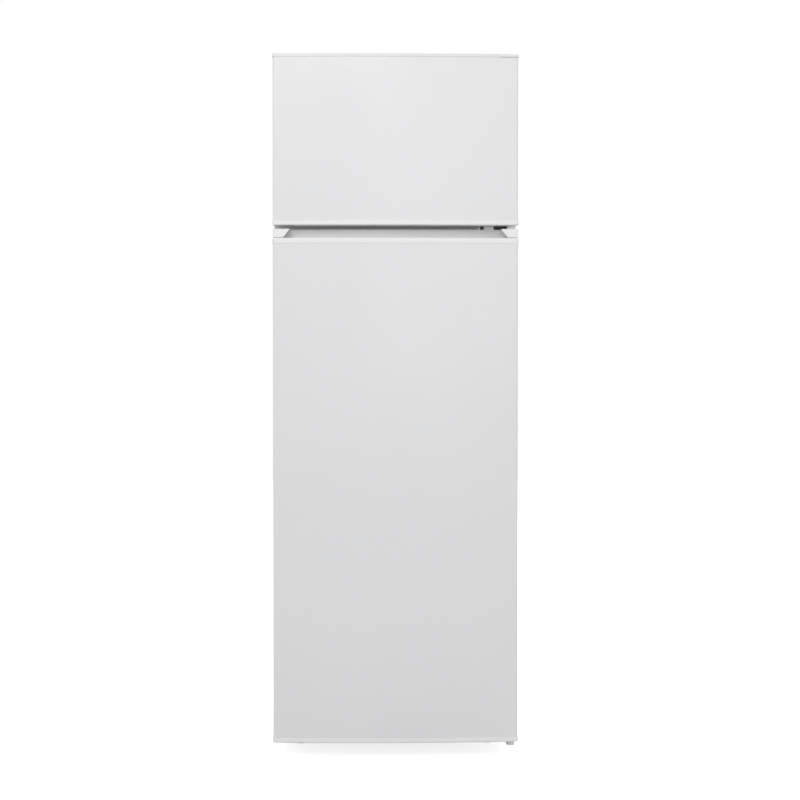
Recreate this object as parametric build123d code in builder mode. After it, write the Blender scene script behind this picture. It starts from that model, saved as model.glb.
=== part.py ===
from build123d import *
import os
from math import sqrt

os.makedirs("parts", exist_ok=True)

# Overall size, in millimetres: x to the hinge side, y to the back, z up
WIDTH = 540.0
DEPTH = 580.0
HEIGHT = 1550.0

# Clearances
FIT = 0.2
RUN = 0.08
SLIDE = 0.3

# Wall thicknesses
SHEET = 0.8
LINER_WALL = 2.0
GLASS = 4.0
BIN_WALL = 2.2

# Door heights read off the front
FREEZER_DOOR_HEIGHT = 374.4
DOOR_GAP = 8.2
GRIP_RISE = 19.8
FLOOR_GAP = 38.5
LIP_BAND = 11.0
END_BAND = 10.0
TOP_BAND = 6.6
CAP_OVERHANG = 1.3

# Door depths: bowed front, flat back, seal, cabinet front
DOOR_BOW = 9.0
DOOR_SIDE_DEPTH = 49.0
CORNER_RADIUS = 5.0
GASKET_DEPTH = 12.0
REAR_SPACE = 38.0
FRONT_Y = -DEPTH / 2
DOOR_BACK_Y = FRONT_Y + DOOR_BOW + DOOR_SIDE_DEPTH
CABINET_FRONT_Y = DOOR_BACK_Y + GASKET_DEPTH
CABINET_BACK_Y = DEPTH / 2 - REAR_SPACE
SKIN_HALF = WIDTH / 2 - CAP_OVERHANG

# Door heights that follow
FREEZER_DOOR_Z = HEIGHT - FREEZER_DOOR_HEIGHT
GRIP_TOP_Z = FREEZER_DOOR_Z - DOOR_GAP
LIP_Z = GRIP_TOP_Z - GRIP_RISE
FRIDGE_SKIN_LOW = FLOOR_GAP + END_BAND
FRIDGE_SKIN_HIGH = LIP_Z - LIP_BAND
FREEZER_SKIN_LOW = FREEZER_DOOR_Z + END_BAND
FREEZER_SKIN_HIGH = HEIGHT - TOP_BAND

# Hinge axis, shared by both doors
HINGE_X = WIDTH / 2 - 15.0
HINGE_Y = DOOR_BACK_Y - 26.0
PIN_RADIUS = 4.0
PIN_REACH = 14.0
SEAT_RADIUS = 8.0
HINGE_PLATE = 3.0
ARM_HALF = 8.0
SLEEVE_WALL = 1.1
SEAT_RING = DOOR_GAP / 2 - HINGE_PLATE / 2 - SLIDE / 2 - SLEEVE_WALL - SLIDE

# Cabinet: steel wrap, foam and the two lined rooms
CABINET_HALF = WIDTH / 2 - 2.0
BASE_Z = 30.0
TOP_PANEL_HEIGHT = 14.0
SHELL_TOP_Z = HEIGHT - TOP_PANEL_HEIGHT
FRONT_FLANGE = 36.0
REAR_FLANGE = 16.0
WINDOW_HALF = CABINET_HALF - FRONT_FLANGE
MULLION_Z = (FREEZER_DOOR_Z + GRIP_TOP_Z) / 2
MULLION_HALF = 35.0
LINER_LIP = 4.0
RAIL_LOW = MULLION_Z - MULLION_HALF
RAIL_HIGH = MULLION_Z + MULLION_HALF
FRIDGE_HALF = WINDOW_HALF - 6.0
FREEZER_HALF = WINDOW_HALF - 18.0
FRIDGE_FLOOR_Z = BASE_Z + 55.0
FRIDGE_CEILING_Z = RAIL_LOW - LINER_LIP
FREEZER_FLOOR_Z = RAIL_HIGH + LINER_LIP
FREEZER_CEILING_Z = SHELL_TOP_Z - 48.0
FRIDGE_BACK_Y = CABINET_BACK_Y - 48.0
FREEZER_BACK_Y = CABINET_BACK_Y - 62.0
BASE_FLANGE_Z = FRIDGE_FLOOR_Z - LINER_LIP
TOP_FLANGE_Z = SHELL_TOP_Z - FRONT_FLANGE
LINER_ROUND = 12.0

# Compressor bay behind the crisper
BAY_DEPTH = 142.0
BAY_FRONT_Y = CABINET_BACK_Y - BAY_DEPTH
BAY_HEIGHT = 202.0
BAY_TOP_Z = BASE_Z + BAY_HEIGHT
STEP_Y = BAY_FRONT_Y - 36.0
STEP_Z = BAY_TOP_Z + 36.0

# Rooms' fittings
RIB_OUT = 7.0
RIB_HEIGHT = 5.0
TRIM_GRIP = 12.0
TRIM_NOSE = 8.0
SHELF_SETBACK = 122.0
SHELF_FRONT_Y = CABINET_FRONT_Y + SHELF_SETBACK
CRISPER_COVER_Z = STEP_Z - 8.0
SHELF_PITCH = (FRIDGE_CEILING_Z - CRISPER_COVER_Z) / 4
SHELF_LEVELS = [CRISPER_COVER_Z + SHELF_PITCH * (i + 1) for i in range(3)]
FREEZER_SHELF_Z = (FREEZER_FLOOR_Z + FREEZER_CEILING_Z) / 2

# Door inner panels
DYKE_WIDTH = 22.0
DYKE_ROUND = 5.0
PANEL_HALF = SKIN_HALF - 11.0
RETURN_FLANGE = 10.0
FRIDGE_DYKE_HALF = FRIDGE_HALF - 20.0
FREEZER_DYKE_HALF = FREEZER_HALF - 18.0
FRIDGE_DYKE_DEPTH = 44.0
FREEZER_DYKE_DEPTH = 30.0
GASKET_HEAD = 17.0
GASKET_HALF = HINGE_X - 2.0


def save(piece, name):
    """Labels a finished piece and writes its STEP file."""
    piece.part.label = name
    export_step(piece.part, f"parts/{name}.step")


def block(x_span, y_span, z_span, mode=Mode.ADD):
    """Adds a box between two corners to the piece being built."""
    size = [span[1] - span[0] for span in (x_span, y_span, z_span)]
    with Locations((x_span[0], y_span[0], z_span[0])):
        Box(*size, align=(Align.MIN, Align.MIN, Align.MIN), mode=mode)


def door_plan(inset, back_inset=0.0):
    """Plan outline of a door: bowed front, rounded front corners, flat back."""
    half = WIDTH / 2 - inset
    side_y = FRONT_Y + DOOR_BOW + inset
    back_y = DOOR_BACK_Y - back_inset
    with BuildSketch() as plan:
        with BuildLine():
            ThreePointArc((-half, side_y), (0, FRONT_Y + inset), (half, side_y))
            Polyline((half, side_y), (half, back_y), (-half, back_y), (-half, side_y))
        make_face()
        fillet(plan.vertices().group_by(Axis.Y)[0], CORNER_RADIUS - min(inset, 2.5))
    return plan.sketch


# Side panels: painted sheet with a wide front flange and a narrow rear flange
def side_panel(side):
    """Cabinet side, a channel bent from one sheet, left -1 or right 1."""
    with BuildPart() as panel:
        with BuildSketch(Plane.XY.offset(BASE_Z)):
            with BuildLine():
                Polyline((side * WINDOW_HALF, CABINET_FRONT_Y), (side * CABINET_HALF, CABINET_FRONT_Y),
                         (side * CABINET_HALF, CABINET_BACK_Y), (side * REAR_WINDOW_HALF, CABINET_BACK_Y),
                         (side * REAR_WINDOW_HALF, CABINET_BACK_Y - SHEET),
                         (side * (CABINET_HALF - SHEET), CABINET_BACK_Y - SHEET),
                         (side * (CABINET_HALF - SHEET), CABINET_FRONT_Y + SHEET),
                         (side * WINDOW_HALF, CABINET_FRONT_Y + SHEET), close=True)
            make_face()
        extrude(amount=SHELL_TOP_Z - BASE_Z)
    return panel


REAR_WINDOW_HALF = CABINET_HALF - REAR_FLANGE
left_side_panel = side_panel(-1)
save(left_side_panel, "left_side_panel")
right_side_panel = side_panel(1)
save(right_side_panel, "right_side_panel")

# Top sheet: flat roof with a front flange for the seal and a lip at the back
with BuildPart() as top_sheet:
    block((-CABINET_HALF + SHEET, CABINET_HALF - SHEET),
          (CABINET_FRONT_Y + SHEET, CABINET_BACK_Y - SHEET), (SHELL_TOP_Z - SHEET, SHELL_TOP_Z))
    block((-WINDOW_HALF, WINDOW_HALF), (CABINET_FRONT_Y, CABINET_FRONT_Y + SHEET),
          (TOP_FLANGE_Z, SHELL_TOP_Z))
    block((-REAR_WINDOW_HALF, REAR_WINDOW_HALF), (CABINET_BACK_Y - SHEET, CABINET_BACK_Y),
          (SHELL_TOP_Z - REAR_FLANGE, SHELL_TOP_Z))
save(top_sheet, "top_sheet")

# Back sheet, held behind the rear flanges
BACK_SHEET_Y = CABINET_BACK_Y - 2 * SHEET
with BuildPart() as back_panel:
    with BuildSketch(Plane.XZ.offset(-CABINET_BACK_Y + SHEET)):
        with Locations((0, (BAY_TOP_Z + SHELL_TOP_Z - SHEET) / 2)):
            Rectangle(2 * (CABINET_HALF - 2 * SHEET), SHELL_TOP_Z - SHEET - BAY_TOP_Z - FIT)
    extrude(amount=SHEET)
save(back_panel, "back_panel")

# Base pan: front flange, floor, bay front and bay roof bent from one sheet
with BuildPart() as base_pan:
    with BuildSketch(Plane.YZ):
        with BuildLine():
            Polyline((CABINET_FRONT_Y, BASE_FLANGE_Z), (CABINET_FRONT_Y, BASE_Z),
                     (BAY_FRONT_Y, BASE_Z), (BAY_FRONT_Y, BAY_TOP_Z - SHEET),
                     (CABINET_BACK_Y - SHEET, BAY_TOP_Z - SHEET),
                     (CABINET_BACK_Y - SHEET, BAY_TOP_Z),
                     (BAY_FRONT_Y - SHEET, BAY_TOP_Z), (BAY_FRONT_Y - SHEET, BASE_Z + SHEET),
                     (CABINET_FRONT_Y + SHEET, BASE_Z + SHEET),
                     (CABINET_FRONT_Y + SHEET, BASE_FLANGE_Z), close=True)
        make_face()
    extrude(amount=WINDOW_HALF, both=True)
    block((-CABINET_HALF + SHEET, CABINET_HALF - SHEET),
          (CABINET_FRONT_Y + SHEET, BAY_FRONT_Y), (BASE_Z, BASE_Z + SHEET))
    block((-CABINET_HALF + SHEET, CABINET_HALF - SHEET),
          (BAY_FRONT_Y - SHEET, BAY_FRONT_Y), (BASE_Z, BAY_TOP_Z))
    block((-CABINET_HALF + SHEET, CABINET_HALF - SHEET),
          (BAY_FRONT_Y - SHEET, CABINET_BACK_Y - SHEET), (BAY_TOP_Z - SHEET, BAY_TOP_Z))
    DRAIN_X = 0.0
    DRAIN_Y = BAY_FRONT_Y + 62.0
    DRAIN_RADIUS = 7.0
    with Locations((DRAIN_X, DRAIN_Y, BAY_TOP_Z)):
        Cylinder(DRAIN_RADIUS + FIT, 6 * SHEET, mode=Mode.SUBTRACT)
    LINE_HOLE_X = 130.0
    LINE_HOLE_Y = BAY_FRONT_Y + 40.0
    with Locations((LINE_HOLE_X, LINE_HOLE_Y, BAY_TOP_Z)):
        Cylinder(3.5 + FIT, 6 * SHEET, mode=Mode.SUBTRACT)

# Front rail between the two rooms, a steel channel the seals close on
RAIL_RETURN = 12.0
with BuildPart() as mullion_rail:
    block((-WINDOW_HALF, WINDOW_HALF), (CABINET_FRONT_Y, CABINET_FRONT_Y + RAIL_RETURN),
          (RAIL_LOW, RAIL_HIGH))
    block((-WINDOW_HALF, WINDOW_HALF), (CABINET_FRONT_Y + SHEET, CABINET_FRONT_Y + RAIL_RETURN),
          (RAIL_LOW + SHEET, RAIL_HIGH - SHEET), Mode.SUBTRACT)
save(mullion_rail, "mullion_rail")

# Freezer liner: one thin tray with a front lip and two shelf ribs
FREEZER_RIB_FRONT_Y = CABINET_FRONT_Y + 70.0
with BuildPart() as freezer_room:
    block((-FREEZER_HALF, FREEZER_HALF), (CABINET_FRONT_Y, FREEZER_BACK_Y),
          (FREEZER_FLOOR_Z, FREEZER_CEILING_Z))
    fillet(freezer_room.edges().filter_by(Axis.Y), LINER_ROUND)
    fillet(freezer_room.faces().sort_by(Axis.Y)[-1].edges(), LINER_ROUND * 0.8)
with BuildPart() as freezer_liner:
    block((-FREEZER_HALF - LINER_WALL, FREEZER_HALF + LINER_WALL),
          (CABINET_FRONT_Y, FREEZER_BACK_Y + LINER_WALL),
          (FREEZER_FLOOR_Z - LINER_WALL, FREEZER_CEILING_Z + LINER_WALL))
    block((-WINDOW_HALF, WINDOW_HALF), (CABINET_FRONT_Y, CABINET_FRONT_Y + LINER_WALL),
          (RAIL_HIGH, TOP_FLANGE_Z))
    add(freezer_room.part, mode=Mode.SUBTRACT)
    for side in (-1, 1):
        rib = sorted((side * FREEZER_HALF, side * (FREEZER_HALF - RIB_OUT)))
        block(rib, (FREEZER_RIB_FRONT_Y, FREEZER_BACK_Y - 20.0),
              (FREEZER_SHELF_Z - RIB_HEIGHT, FREEZER_SHELF_Z))
save(freezer_liner, "freezer_liner")

# Fridge liner: stepped tray with shelf ribs, drawer runners and a drain spout into the bay
RIB_LEVELS = [CRISPER_COVER_Z] + SHELF_LEVELS
RUNNER_HEIGHT = 5.0
RUNNER_X = FRIDGE_HALF - 60.0
DRAWER_SETBACK = 113.0
DRAWER_FRONT_Y = CABINET_FRONT_Y + DRAWER_SETBACK
with BuildPart() as fridge_room:
    with BuildSketch(Plane.YZ):
        with BuildLine():
            Polyline((CABINET_FRONT_Y, FRIDGE_FLOOR_Z), (STEP_Y, FRIDGE_FLOOR_Z), (STEP_Y, STEP_Z),
                     (FRIDGE_BACK_Y, STEP_Z), (FRIDGE_BACK_Y, FRIDGE_CEILING_Z),
                     (CABINET_FRONT_Y, FRIDGE_CEILING_Z), close=True)
        make_face()
    extrude(amount=FRIDGE_HALF, both=True)
    fillet(fridge_room.edges().filter_by(Axis.Y), LINER_ROUND * 0.5)
with BuildPart() as fridge_liner:
    with BuildSketch(Plane.YZ):
        with BuildLine():
            Polyline((CABINET_FRONT_Y, FRIDGE_FLOOR_Z - LINER_WALL),
                     (STEP_Y + LINER_WALL, FRIDGE_FLOOR_Z - LINER_WALL),
                     (STEP_Y + LINER_WALL, STEP_Z - LINER_WALL),
                     (FRIDGE_BACK_Y + LINER_WALL, STEP_Z - LINER_WALL),
                     (FRIDGE_BACK_Y + LINER_WALL, FRIDGE_CEILING_Z + LINER_WALL),
                     (CABINET_FRONT_Y, FRIDGE_CEILING_Z + LINER_WALL), close=True)
        make_face()
    extrude(amount=FRIDGE_HALF + LINER_WALL, both=True)
    block((-WINDOW_HALF, WINDOW_HALF), (CABINET_FRONT_Y, CABINET_FRONT_Y + LINER_WALL),
          (BASE_FLANGE_Z, RAIL_LOW))
    add(fridge_room.part, mode=Mode.SUBTRACT)
    for side in (-1, 1):
        rib = sorted((side * FRIDGE_HALF, side * (FRIDGE_HALF - RIB_OUT)))
        for level in RIB_LEVELS:
            rib_back = STEP_Y - 10.0 if level < STEP_Z else FRIDGE_BACK_Y - 20.0
            block(rib, (SHELF_FRONT_Y + TRIM_GRIP + 2.0, rib_back), (level - RIB_HEIGHT, level))
        runner = sorted((side * RUNNER_X, side * (RUNNER_X + 8.0)))
        block(runner, (DRAWER_FRONT_Y, STEP_Y - 10.0), (FRIDGE_FLOOR_Z, FRIDGE_FLOOR_Z + RUNNER_HEIGHT))
    with BuildSketch(Plane.XY.offset(BAY_TOP_Z - 8.0)):
        with Locations((DRAIN_X, DRAIN_Y)):
            Circle(DRAIN_RADIUS)
    extrude(amount=STEP_Z - LINER_WALL - BAY_TOP_Z + 8.0)
    with Locations((DRAIN_X, DRAIN_Y, BAY_TOP_Z)):
        Cylinder(DRAIN_RADIUS - 1.5, 4 * (STEP_Z - BAY_TOP_Z), mode=Mode.SUBTRACT)
save(fridge_liner, "fridge_liner")

# Evaporators: a plate behind each room's back wall with a flat channel run on it
EVAPORATOR_PLATE = 1.2
EVAPORATOR_DEEP = 6.0


def evaporator(half, low, high, wall_y, passes):
    """Plate against a liner's back with a serpentine channel on its far side."""
    pitch = (high - low - 40.0) / (passes - 1)
    path = []
    for i in range(passes):
        z = low + 20.0 + i * pitch
        ends = [(-half + 20.0, z), (half - 20.0, z)]
        path += ends if i % 2 == 0 else ends[::-1]
    with BuildPart() as plate:
        block((-half, half), (wall_y, wall_y + EVAPORATOR_PLATE), (low, high))
        with BuildSketch(Plane.XZ.offset(-wall_y - EVAPORATOR_PLATE)):
            with BuildLine():
                Polyline(*path)
            trace(line_width=9.0)
        extrude(amount=-(EVAPORATOR_DEEP - EVAPORATOR_PLATE))
    return plate


EVAPORATOR_TOP_Z = FRIDGE_CEILING_Z - 60.0
EVAPORATOR_LOW_Z = SHELF_LEVELS[0] + 30.0
freezer_plate = evaporator(FREEZER_HALF - 30.0, FREEZER_FLOOR_Z + 25.0, FREEZER_CEILING_Z - 25.0,
                           FREEZER_BACK_Y + LINER_WALL, 6)
fridge_plate = evaporator(FRIDGE_HALF - 60.0, EVAPORATOR_LOW_Z, EVAPORATOR_TOP_Z,
                          FRIDGE_BACK_Y + LINER_WALL, 8)
with BuildPart() as evaporator_plates:
    add(freezer_plate.part)
    add(fridge_plate.part)
save(evaporator_plates, "evaporator_plates")

# Foam that fills the cabinet between the steel and the liners
with BuildPart() as cabinet_foam:
    with BuildSketch(Plane.YZ):
        with BuildLine():
            Polyline((CABINET_FRONT_Y + SHEET, BASE_Z + SHEET), (BAY_FRONT_Y - SHEET, BASE_Z + SHEET),
                     (BAY_FRONT_Y - SHEET, BAY_TOP_Z), (BACK_SHEET_Y, BAY_TOP_Z),
                     (BACK_SHEET_Y, SHELL_TOP_Z - SHEET), (CABINET_FRONT_Y + SHEET, SHELL_TOP_Z - SHEET),
                     close=True)
        make_face()
    extrude(amount=CABINET_HALF - SHEET, both=True)
    block((-FREEZER_HALF - LINER_WALL, FREEZER_HALF + LINER_WALL),
          (CABINET_FRONT_Y, FREEZER_BACK_Y + LINER_WALL),
          (FREEZER_FLOOR_Z - LINER_WALL, FREEZER_CEILING_Z + LINER_WALL), Mode.SUBTRACT)
    block((-FRIDGE_HALF - LINER_WALL, FRIDGE_HALF + LINER_WALL),
          (CABINET_FRONT_Y, STEP_Y + LINER_WALL),
          (FRIDGE_FLOOR_Z - LINER_WALL, FRIDGE_CEILING_Z + LINER_WALL), Mode.SUBTRACT)
    block((-FRIDGE_HALF - LINER_WALL, FRIDGE_HALF + LINER_WALL),
          (CABINET_FRONT_Y, FRIDGE_BACK_Y + LINER_WALL),
          (STEP_Z - LINER_WALL, FRIDGE_CEILING_Z + LINER_WALL), Mode.SUBTRACT)
    block((-WINDOW_HALF, WINDOW_HALF), (CABINET_FRONT_Y, CABINET_FRONT_Y + LINER_WALL),
          (BASE_FLANGE_Z, TOP_FLANGE_Z), Mode.SUBTRACT)
    block((-WINDOW_HALF, WINDOW_HALF), (CABINET_FRONT_Y, CABINET_FRONT_Y + RAIL_RETURN),
          (RAIL_LOW, RAIL_HIGH), Mode.SUBTRACT)
    block((-FREEZER_HALF + 30.0, FREEZER_HALF - 30.0),
          (FREEZER_BACK_Y, FREEZER_BACK_Y + LINER_WALL + EVAPORATOR_DEEP),
          (FREEZER_FLOOR_Z + 25.0, FREEZER_CEILING_Z - 25.0), Mode.SUBTRACT)
    block((-FRIDGE_HALF + 60.0, FRIDGE_HALF - 60.0),
          (FRIDGE_BACK_Y, FRIDGE_BACK_Y + LINER_WALL + EVAPORATOR_DEEP),
          (EVAPORATOR_LOW_Z, EVAPORATOR_TOP_Z), Mode.SUBTRACT)
    with Locations((DRAIN_X, DRAIN_Y, (BAY_TOP_Z + STEP_Z) / 2)):
        Cylinder(DRAIN_RADIUS + FIT, STEP_Z - BAY_TOP_Z, mode=Mode.SUBTRACT)
    with Locations((LINE_HOLE_X, LINE_HOLE_Y, BAY_TOP_Z)):
        Cylinder(3.5 + FIT, 36.0, mode=Mode.SUBTRACT)
save(cabinet_foam, "cabinet_foam")

# Top panel: moulded tray with a front corner pocket at each side for a hinge
POCKET_X = CABINET_HALF - 82.0
POCKET_Y = CABINET_FRONT_Y + 62.0
TOP_WALL = 2.5
with BuildPart() as top_panel:
    block((-CABINET_HALF, CABINET_HALF), (CABINET_FRONT_Y, CABINET_BACK_Y), (SHELL_TOP_Z, HEIGHT - 1.0))
    for side in (-1, 1):
        pocket = sorted((side * POCKET_X, side * (CABINET_HALF + 1.0)))
        block(pocket, (CABINET_FRONT_Y - 1.0, POCKET_Y), (SHELL_TOP_Z, HEIGHT), Mode.SUBTRACT)
    fillet(top_panel.faces().sort_by(Axis.Z)[-1].edges(), 2.0)
    with BuildSketch(Plane.XY.offset(SHELL_TOP_Z)):
        with Locations((0, (POCKET_Y + CABINET_BACK_Y) / 2)):
            Rectangle(2 * (CABINET_HALF - TOP_WALL), CABINET_BACK_Y - POCKET_Y - 2 * TOP_WALL)
        with Locations((0, CABINET_FRONT_Y + 40.0)):
            Rectangle(2 * (POCKET_X - TOP_WALL), 80.0 - 2 * TOP_WALL)
    extrude(amount=TOP_PANEL_HEIGHT - 1.0 - TOP_WALL, mode=Mode.SUBTRACT)
save(top_panel, "top_panel")

# Corner covers over the two pockets: one over the hinge, one blank
COVER_WALL = 2.0
with BuildPart() as corner_covers:
    for side in (-1, 1):
        outer = sorted((side * (POCKET_X + FIT), side * CABINET_HALF))
        inner = sorted((side * (POCKET_X + FIT + COVER_WALL), side * (CABINET_HALF - COVER_WALL)))
        block(outer, (CABINET_FRONT_Y, POCKET_Y - FIT), (SHELL_TOP_Z, HEIGHT - 1.0))
        block(inner, (CABINET_FRONT_Y + COVER_WALL, POCKET_Y - FIT - COVER_WALL),
              (SHELL_TOP_Z, HEIGHT - 1.0 - COVER_WALL), Mode.SUBTRACT)
    block((HINGE_X - ARM_HALF - SLIDE, HINGE_X + ARM_HALF + SLIDE),
          (CABINET_FRONT_Y - 1.0, CABINET_FRONT_Y + COVER_WALL + 1.0),
          (SHELL_TOP_Z, SHELL_TOP_Z + HINGE_PLATE + SLIDE), Mode.SUBTRACT)
    fillet(corner_covers.faces().group_by(Axis.Z)[-1].edges().filter_by(Axis.X), 1.5)
save(corner_covers, "corner_covers")


def arm_plan(back_y):
    """Plan of a hinge arm: a straight strip with a round end about the pin."""
    with BuildSketch() as plan:
        with Locations((HINGE_X, (HINGE_Y + back_y) / 2)):
            Rectangle(2 * ARM_HALF, back_y - HINGE_Y)
        with Locations((HINGE_X, HINGE_Y)):
            Circle(ARM_HALF)
    return plan.sketch


def pin(low, high):
    """Hinge pin standing on the shared axis."""
    with BuildSketch(Plane.XY.offset(low)) as foot:
        with Locations((HINGE_X, HINGE_Y)):
            Circle(PIN_RADIUS)
    extrude(foot.sketch, amount=high - low)


# Top hinge: plate screwed on the cabinet top, arm to a pin that points down
TOP_PLATE_X = POCKET_X + 8.0
TOP_SCREWS = [(TOP_PLATE_X + 14.0, CABINET_FRONT_Y + 18.0), (TOP_PLATE_X + 14.0, CABINET_FRONT_Y + 42.0),
              (HINGE_X - 8.0, CABINET_FRONT_Y + 42.0)]
SCREW_RADIUS = 2.2
SCREW_HEAD = 4.6
SCREW_HEAD_HEIGHT = 2.6
TOP_PIN_LOW = SHELL_TOP_Z - PIN_REACH - 2.0
with BuildPart() as top_hinge:
    with BuildSketch(Plane.XY.offset(SHELL_TOP_Z)):
        add(arm_plan(CABINET_FRONT_Y + 12.0))
        with Locations(((TOP_PLATE_X + HINGE_X + ARM_HALF) / 2, CABINET_FRONT_Y + 31.0)):
            RectangleRounded(HINGE_X + ARM_HALF - TOP_PLATE_X, 50.0, 4.0)
        with Locations(*TOP_SCREWS):
            Circle(SCREW_RADIUS + FIT, mode=Mode.SUBTRACT)
    extrude(amount=HINGE_PLATE)
    pin(TOP_PIN_LOW, SHELL_TOP_Z)
save(top_hinge, "top_hinge")

# Middle hinge: flange on the front rail, arm in the gap, one pin through the arm
FLANGE_X = HINGE_X - 70.0
FLANGE_HALF = 12.0
MIDDLE_SCREWS = [(FLANGE_X + 8.0, MULLION_Z), (FLANGE_X + 38.0, MULLION_Z),
                 (FLANGE_X + 53.0, MULLION_Z - 7.0)]
ARM_LOW = MULLION_Z - HINGE_PLATE / 2
ARM_HIGH = MULLION_Z + HINGE_PLATE / 2
FLANGE_Y = CABINET_FRONT_Y - HINGE_PLATE
MIDDLE_PIN_LOW = GRIP_TOP_Z - PIN_REACH
MIDDLE_PIN_HIGH = FREEZER_DOOR_Z + PIN_REACH
with BuildPart() as middle_hinge:
    with BuildSketch(Plane.XZ.offset(-CABINET_FRONT_Y)):
        with Locations(((FLANGE_X + HINGE_X + ARM_HALF) / 2, MULLION_Z)):
            RectangleRounded(HINGE_X + ARM_HALF - FLANGE_X, 2 * FLANGE_HALF, 3.0)
        with Locations(*MIDDLE_SCREWS):
            Circle(SCREW_RADIUS + FIT, mode=Mode.SUBTRACT)
    extrude(amount=HINGE_PLATE)
    with BuildSketch(Plane.XY.offset(ARM_LOW)):
        add(arm_plan(CABINET_FRONT_Y))
        with Locations((HINGE_X - ARM_HALF - 9.0, CABINET_FRONT_Y - 9.0)):
            Rectangle(18.0, 18.0)
    extrude(amount=HINGE_PLATE)
    pin(MIDDLE_PIN_LOW, MIDDLE_PIN_HIGH)
save(middle_hinge, "middle_hinge")

# White sleeve over the end of the middle hinge's arm
with BuildPart() as middle_hinge_cap:
    with BuildSketch(Plane.XY.offset(ARM_LOW - SLIDE / 2 - SLEEVE_WALL)):
        add(offset(arm_plan(HINGE_Y + 14.0), amount=SLEEVE_WALL + SLIDE))
    extrude(amount=HINGE_PLATE + SLIDE + 2 * SLEEVE_WALL)
    with BuildSketch(Plane.XY.offset(ARM_LOW - SLIDE / 2)):
        add(offset(arm_plan(CABINET_FRONT_Y), amount=SLIDE / 2))
    extrude(amount=HINGE_PLATE + SLIDE, mode=Mode.SUBTRACT)
    with Locations((HINGE_X, HINGE_Y, MULLION_Z)):
        Cylinder(PIN_RADIUS + SLIDE, 30.0, mode=Mode.SUBTRACT)
save(middle_hinge_cap, "middle_hinge_cap")

# Bottom hinge: plate under the base pan with a collared pin and a nut for the right foot
FOOT_X = CABINET_HALF - 55.0
FOOT_SETBACK = 118.0
FOOT_Y = CABINET_FRONT_Y + FOOT_SETBACK
STUD_RADIUS = 5.0
NUT_HEIGHT = 7.0
PLATE_Z = BASE_Z - HINGE_PLATE
BOTTOM_SCREWS = [(FOOT_X - 24.0, FOOT_Y - 22.0), (FOOT_X - 24.0, FOOT_Y + 22.0),
                 (FOOT_X + 24.0, FOOT_Y + 22.0)]


def foot_plate(side, screws):
    """Sketch of the plate that carries a foot, on the left or right side."""
    with BuildSketch() as plan:
        with Locations((side * FOOT_X, FOOT_Y)):
            RectangleRounded(76.0, 64.0, 5.0)
        with Locations(*[(side * x, y) for x, y in screws]):
            Circle(SCREW_RADIUS + FIT, mode=Mode.SUBTRACT)
        with Locations((side * FOOT_X, FOOT_Y)):
            Circle(STUD_RADIUS + RUN, mode=Mode.SUBTRACT)
    return plan.sketch


def foot_nut(side):
    """Sketch of the nut welded under a foot plate."""
    with BuildSketch() as plan:
        with Locations((side * FOOT_X, FOOT_Y)):
            RegularPolygon(9.5, 6)
            Circle(STUD_RADIUS + RUN, mode=Mode.SUBTRACT)
    return plan.sketch


COLLAR_HIGH = FLOOR_GAP - SEAT_RING - SLIDE
with BuildPart() as bottom_hinge:
    with BuildSketch(Plane.XY.offset(PLATE_Z)):
        add(foot_plate(1, BOTTOM_SCREWS))
        add(arm_plan(FOOT_Y - 20.0))
    extrude(amount=HINGE_PLATE)
    with BuildSketch(Plane.XY.offset(PLATE_Z - NUT_HEIGHT)):
        add(foot_nut(1))
    extrude(amount=NUT_HEIGHT)
    pin(BASE_Z, FLOOR_GAP + PIN_REACH)
    with BuildSketch(Plane.XY.offset(BASE_Z)):
        with Locations((HINGE_X, HINGE_Y)):
            Circle(ARM_HALF)
    extrude(amount=COLLAR_HIGH - BASE_Z)
save(bottom_hinge, "bottom_hinge")

# The left foot's plate and nut, welded under the base pan
with base_pan:
    with BuildSketch(Plane.XY.offset(PLATE_Z)):
        add(foot_plate(-1, BOTTOM_SCREWS))
    extrude(amount=HINGE_PLATE)
    with BuildSketch(Plane.XY.offset(PLATE_Z - NUT_HEIGHT)):
        add(foot_nut(-1))
    extrude(amount=NUT_HEIGHT)
save(base_pan, "base_pan")

# Hinge screws: round heads on each plate, shanks in the plate holes
def plate_screws(face, seats):
    """Screws of one plate that lies on a face: shanks through it and heads outside."""
    with BuildSketch(face) as shanks:
        with Locations(*seats):
            RegularPolygon(SCREW_RADIUS, 8)
    extrude(shanks.sketch, amount=HINGE_PLATE)
    with BuildSketch(face.offset(HINGE_PLATE)) as heads:
        with Locations(*seats):
            RegularPolygon(SCREW_HEAD, 12)
    extrude(heads.sketch, amount=SCREW_HEAD_HEIGHT)


with BuildPart() as hinge_screws:
    plate_screws(Plane.XY.offset(SHELL_TOP_Z), TOP_SCREWS)
    plate_screws(Plane.XZ.offset(-CABINET_FRONT_Y), MIDDLE_SCREWS)
    plate_screws(Plane(origin=(0, 0, BASE_Z), x_dir=(1, 0, 0), z_dir=(0, 0, -1)),
                 [(side * x, -y) for x, y in BOTTOM_SCREWS for side in (-1, 1)])
save(hinge_screws, "hinge_screws")

# Levelling feet: ribbed pad on a threaded stud
PAD_RADIUS = 15.0
PAD_HEIGHT = 9.0


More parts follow.
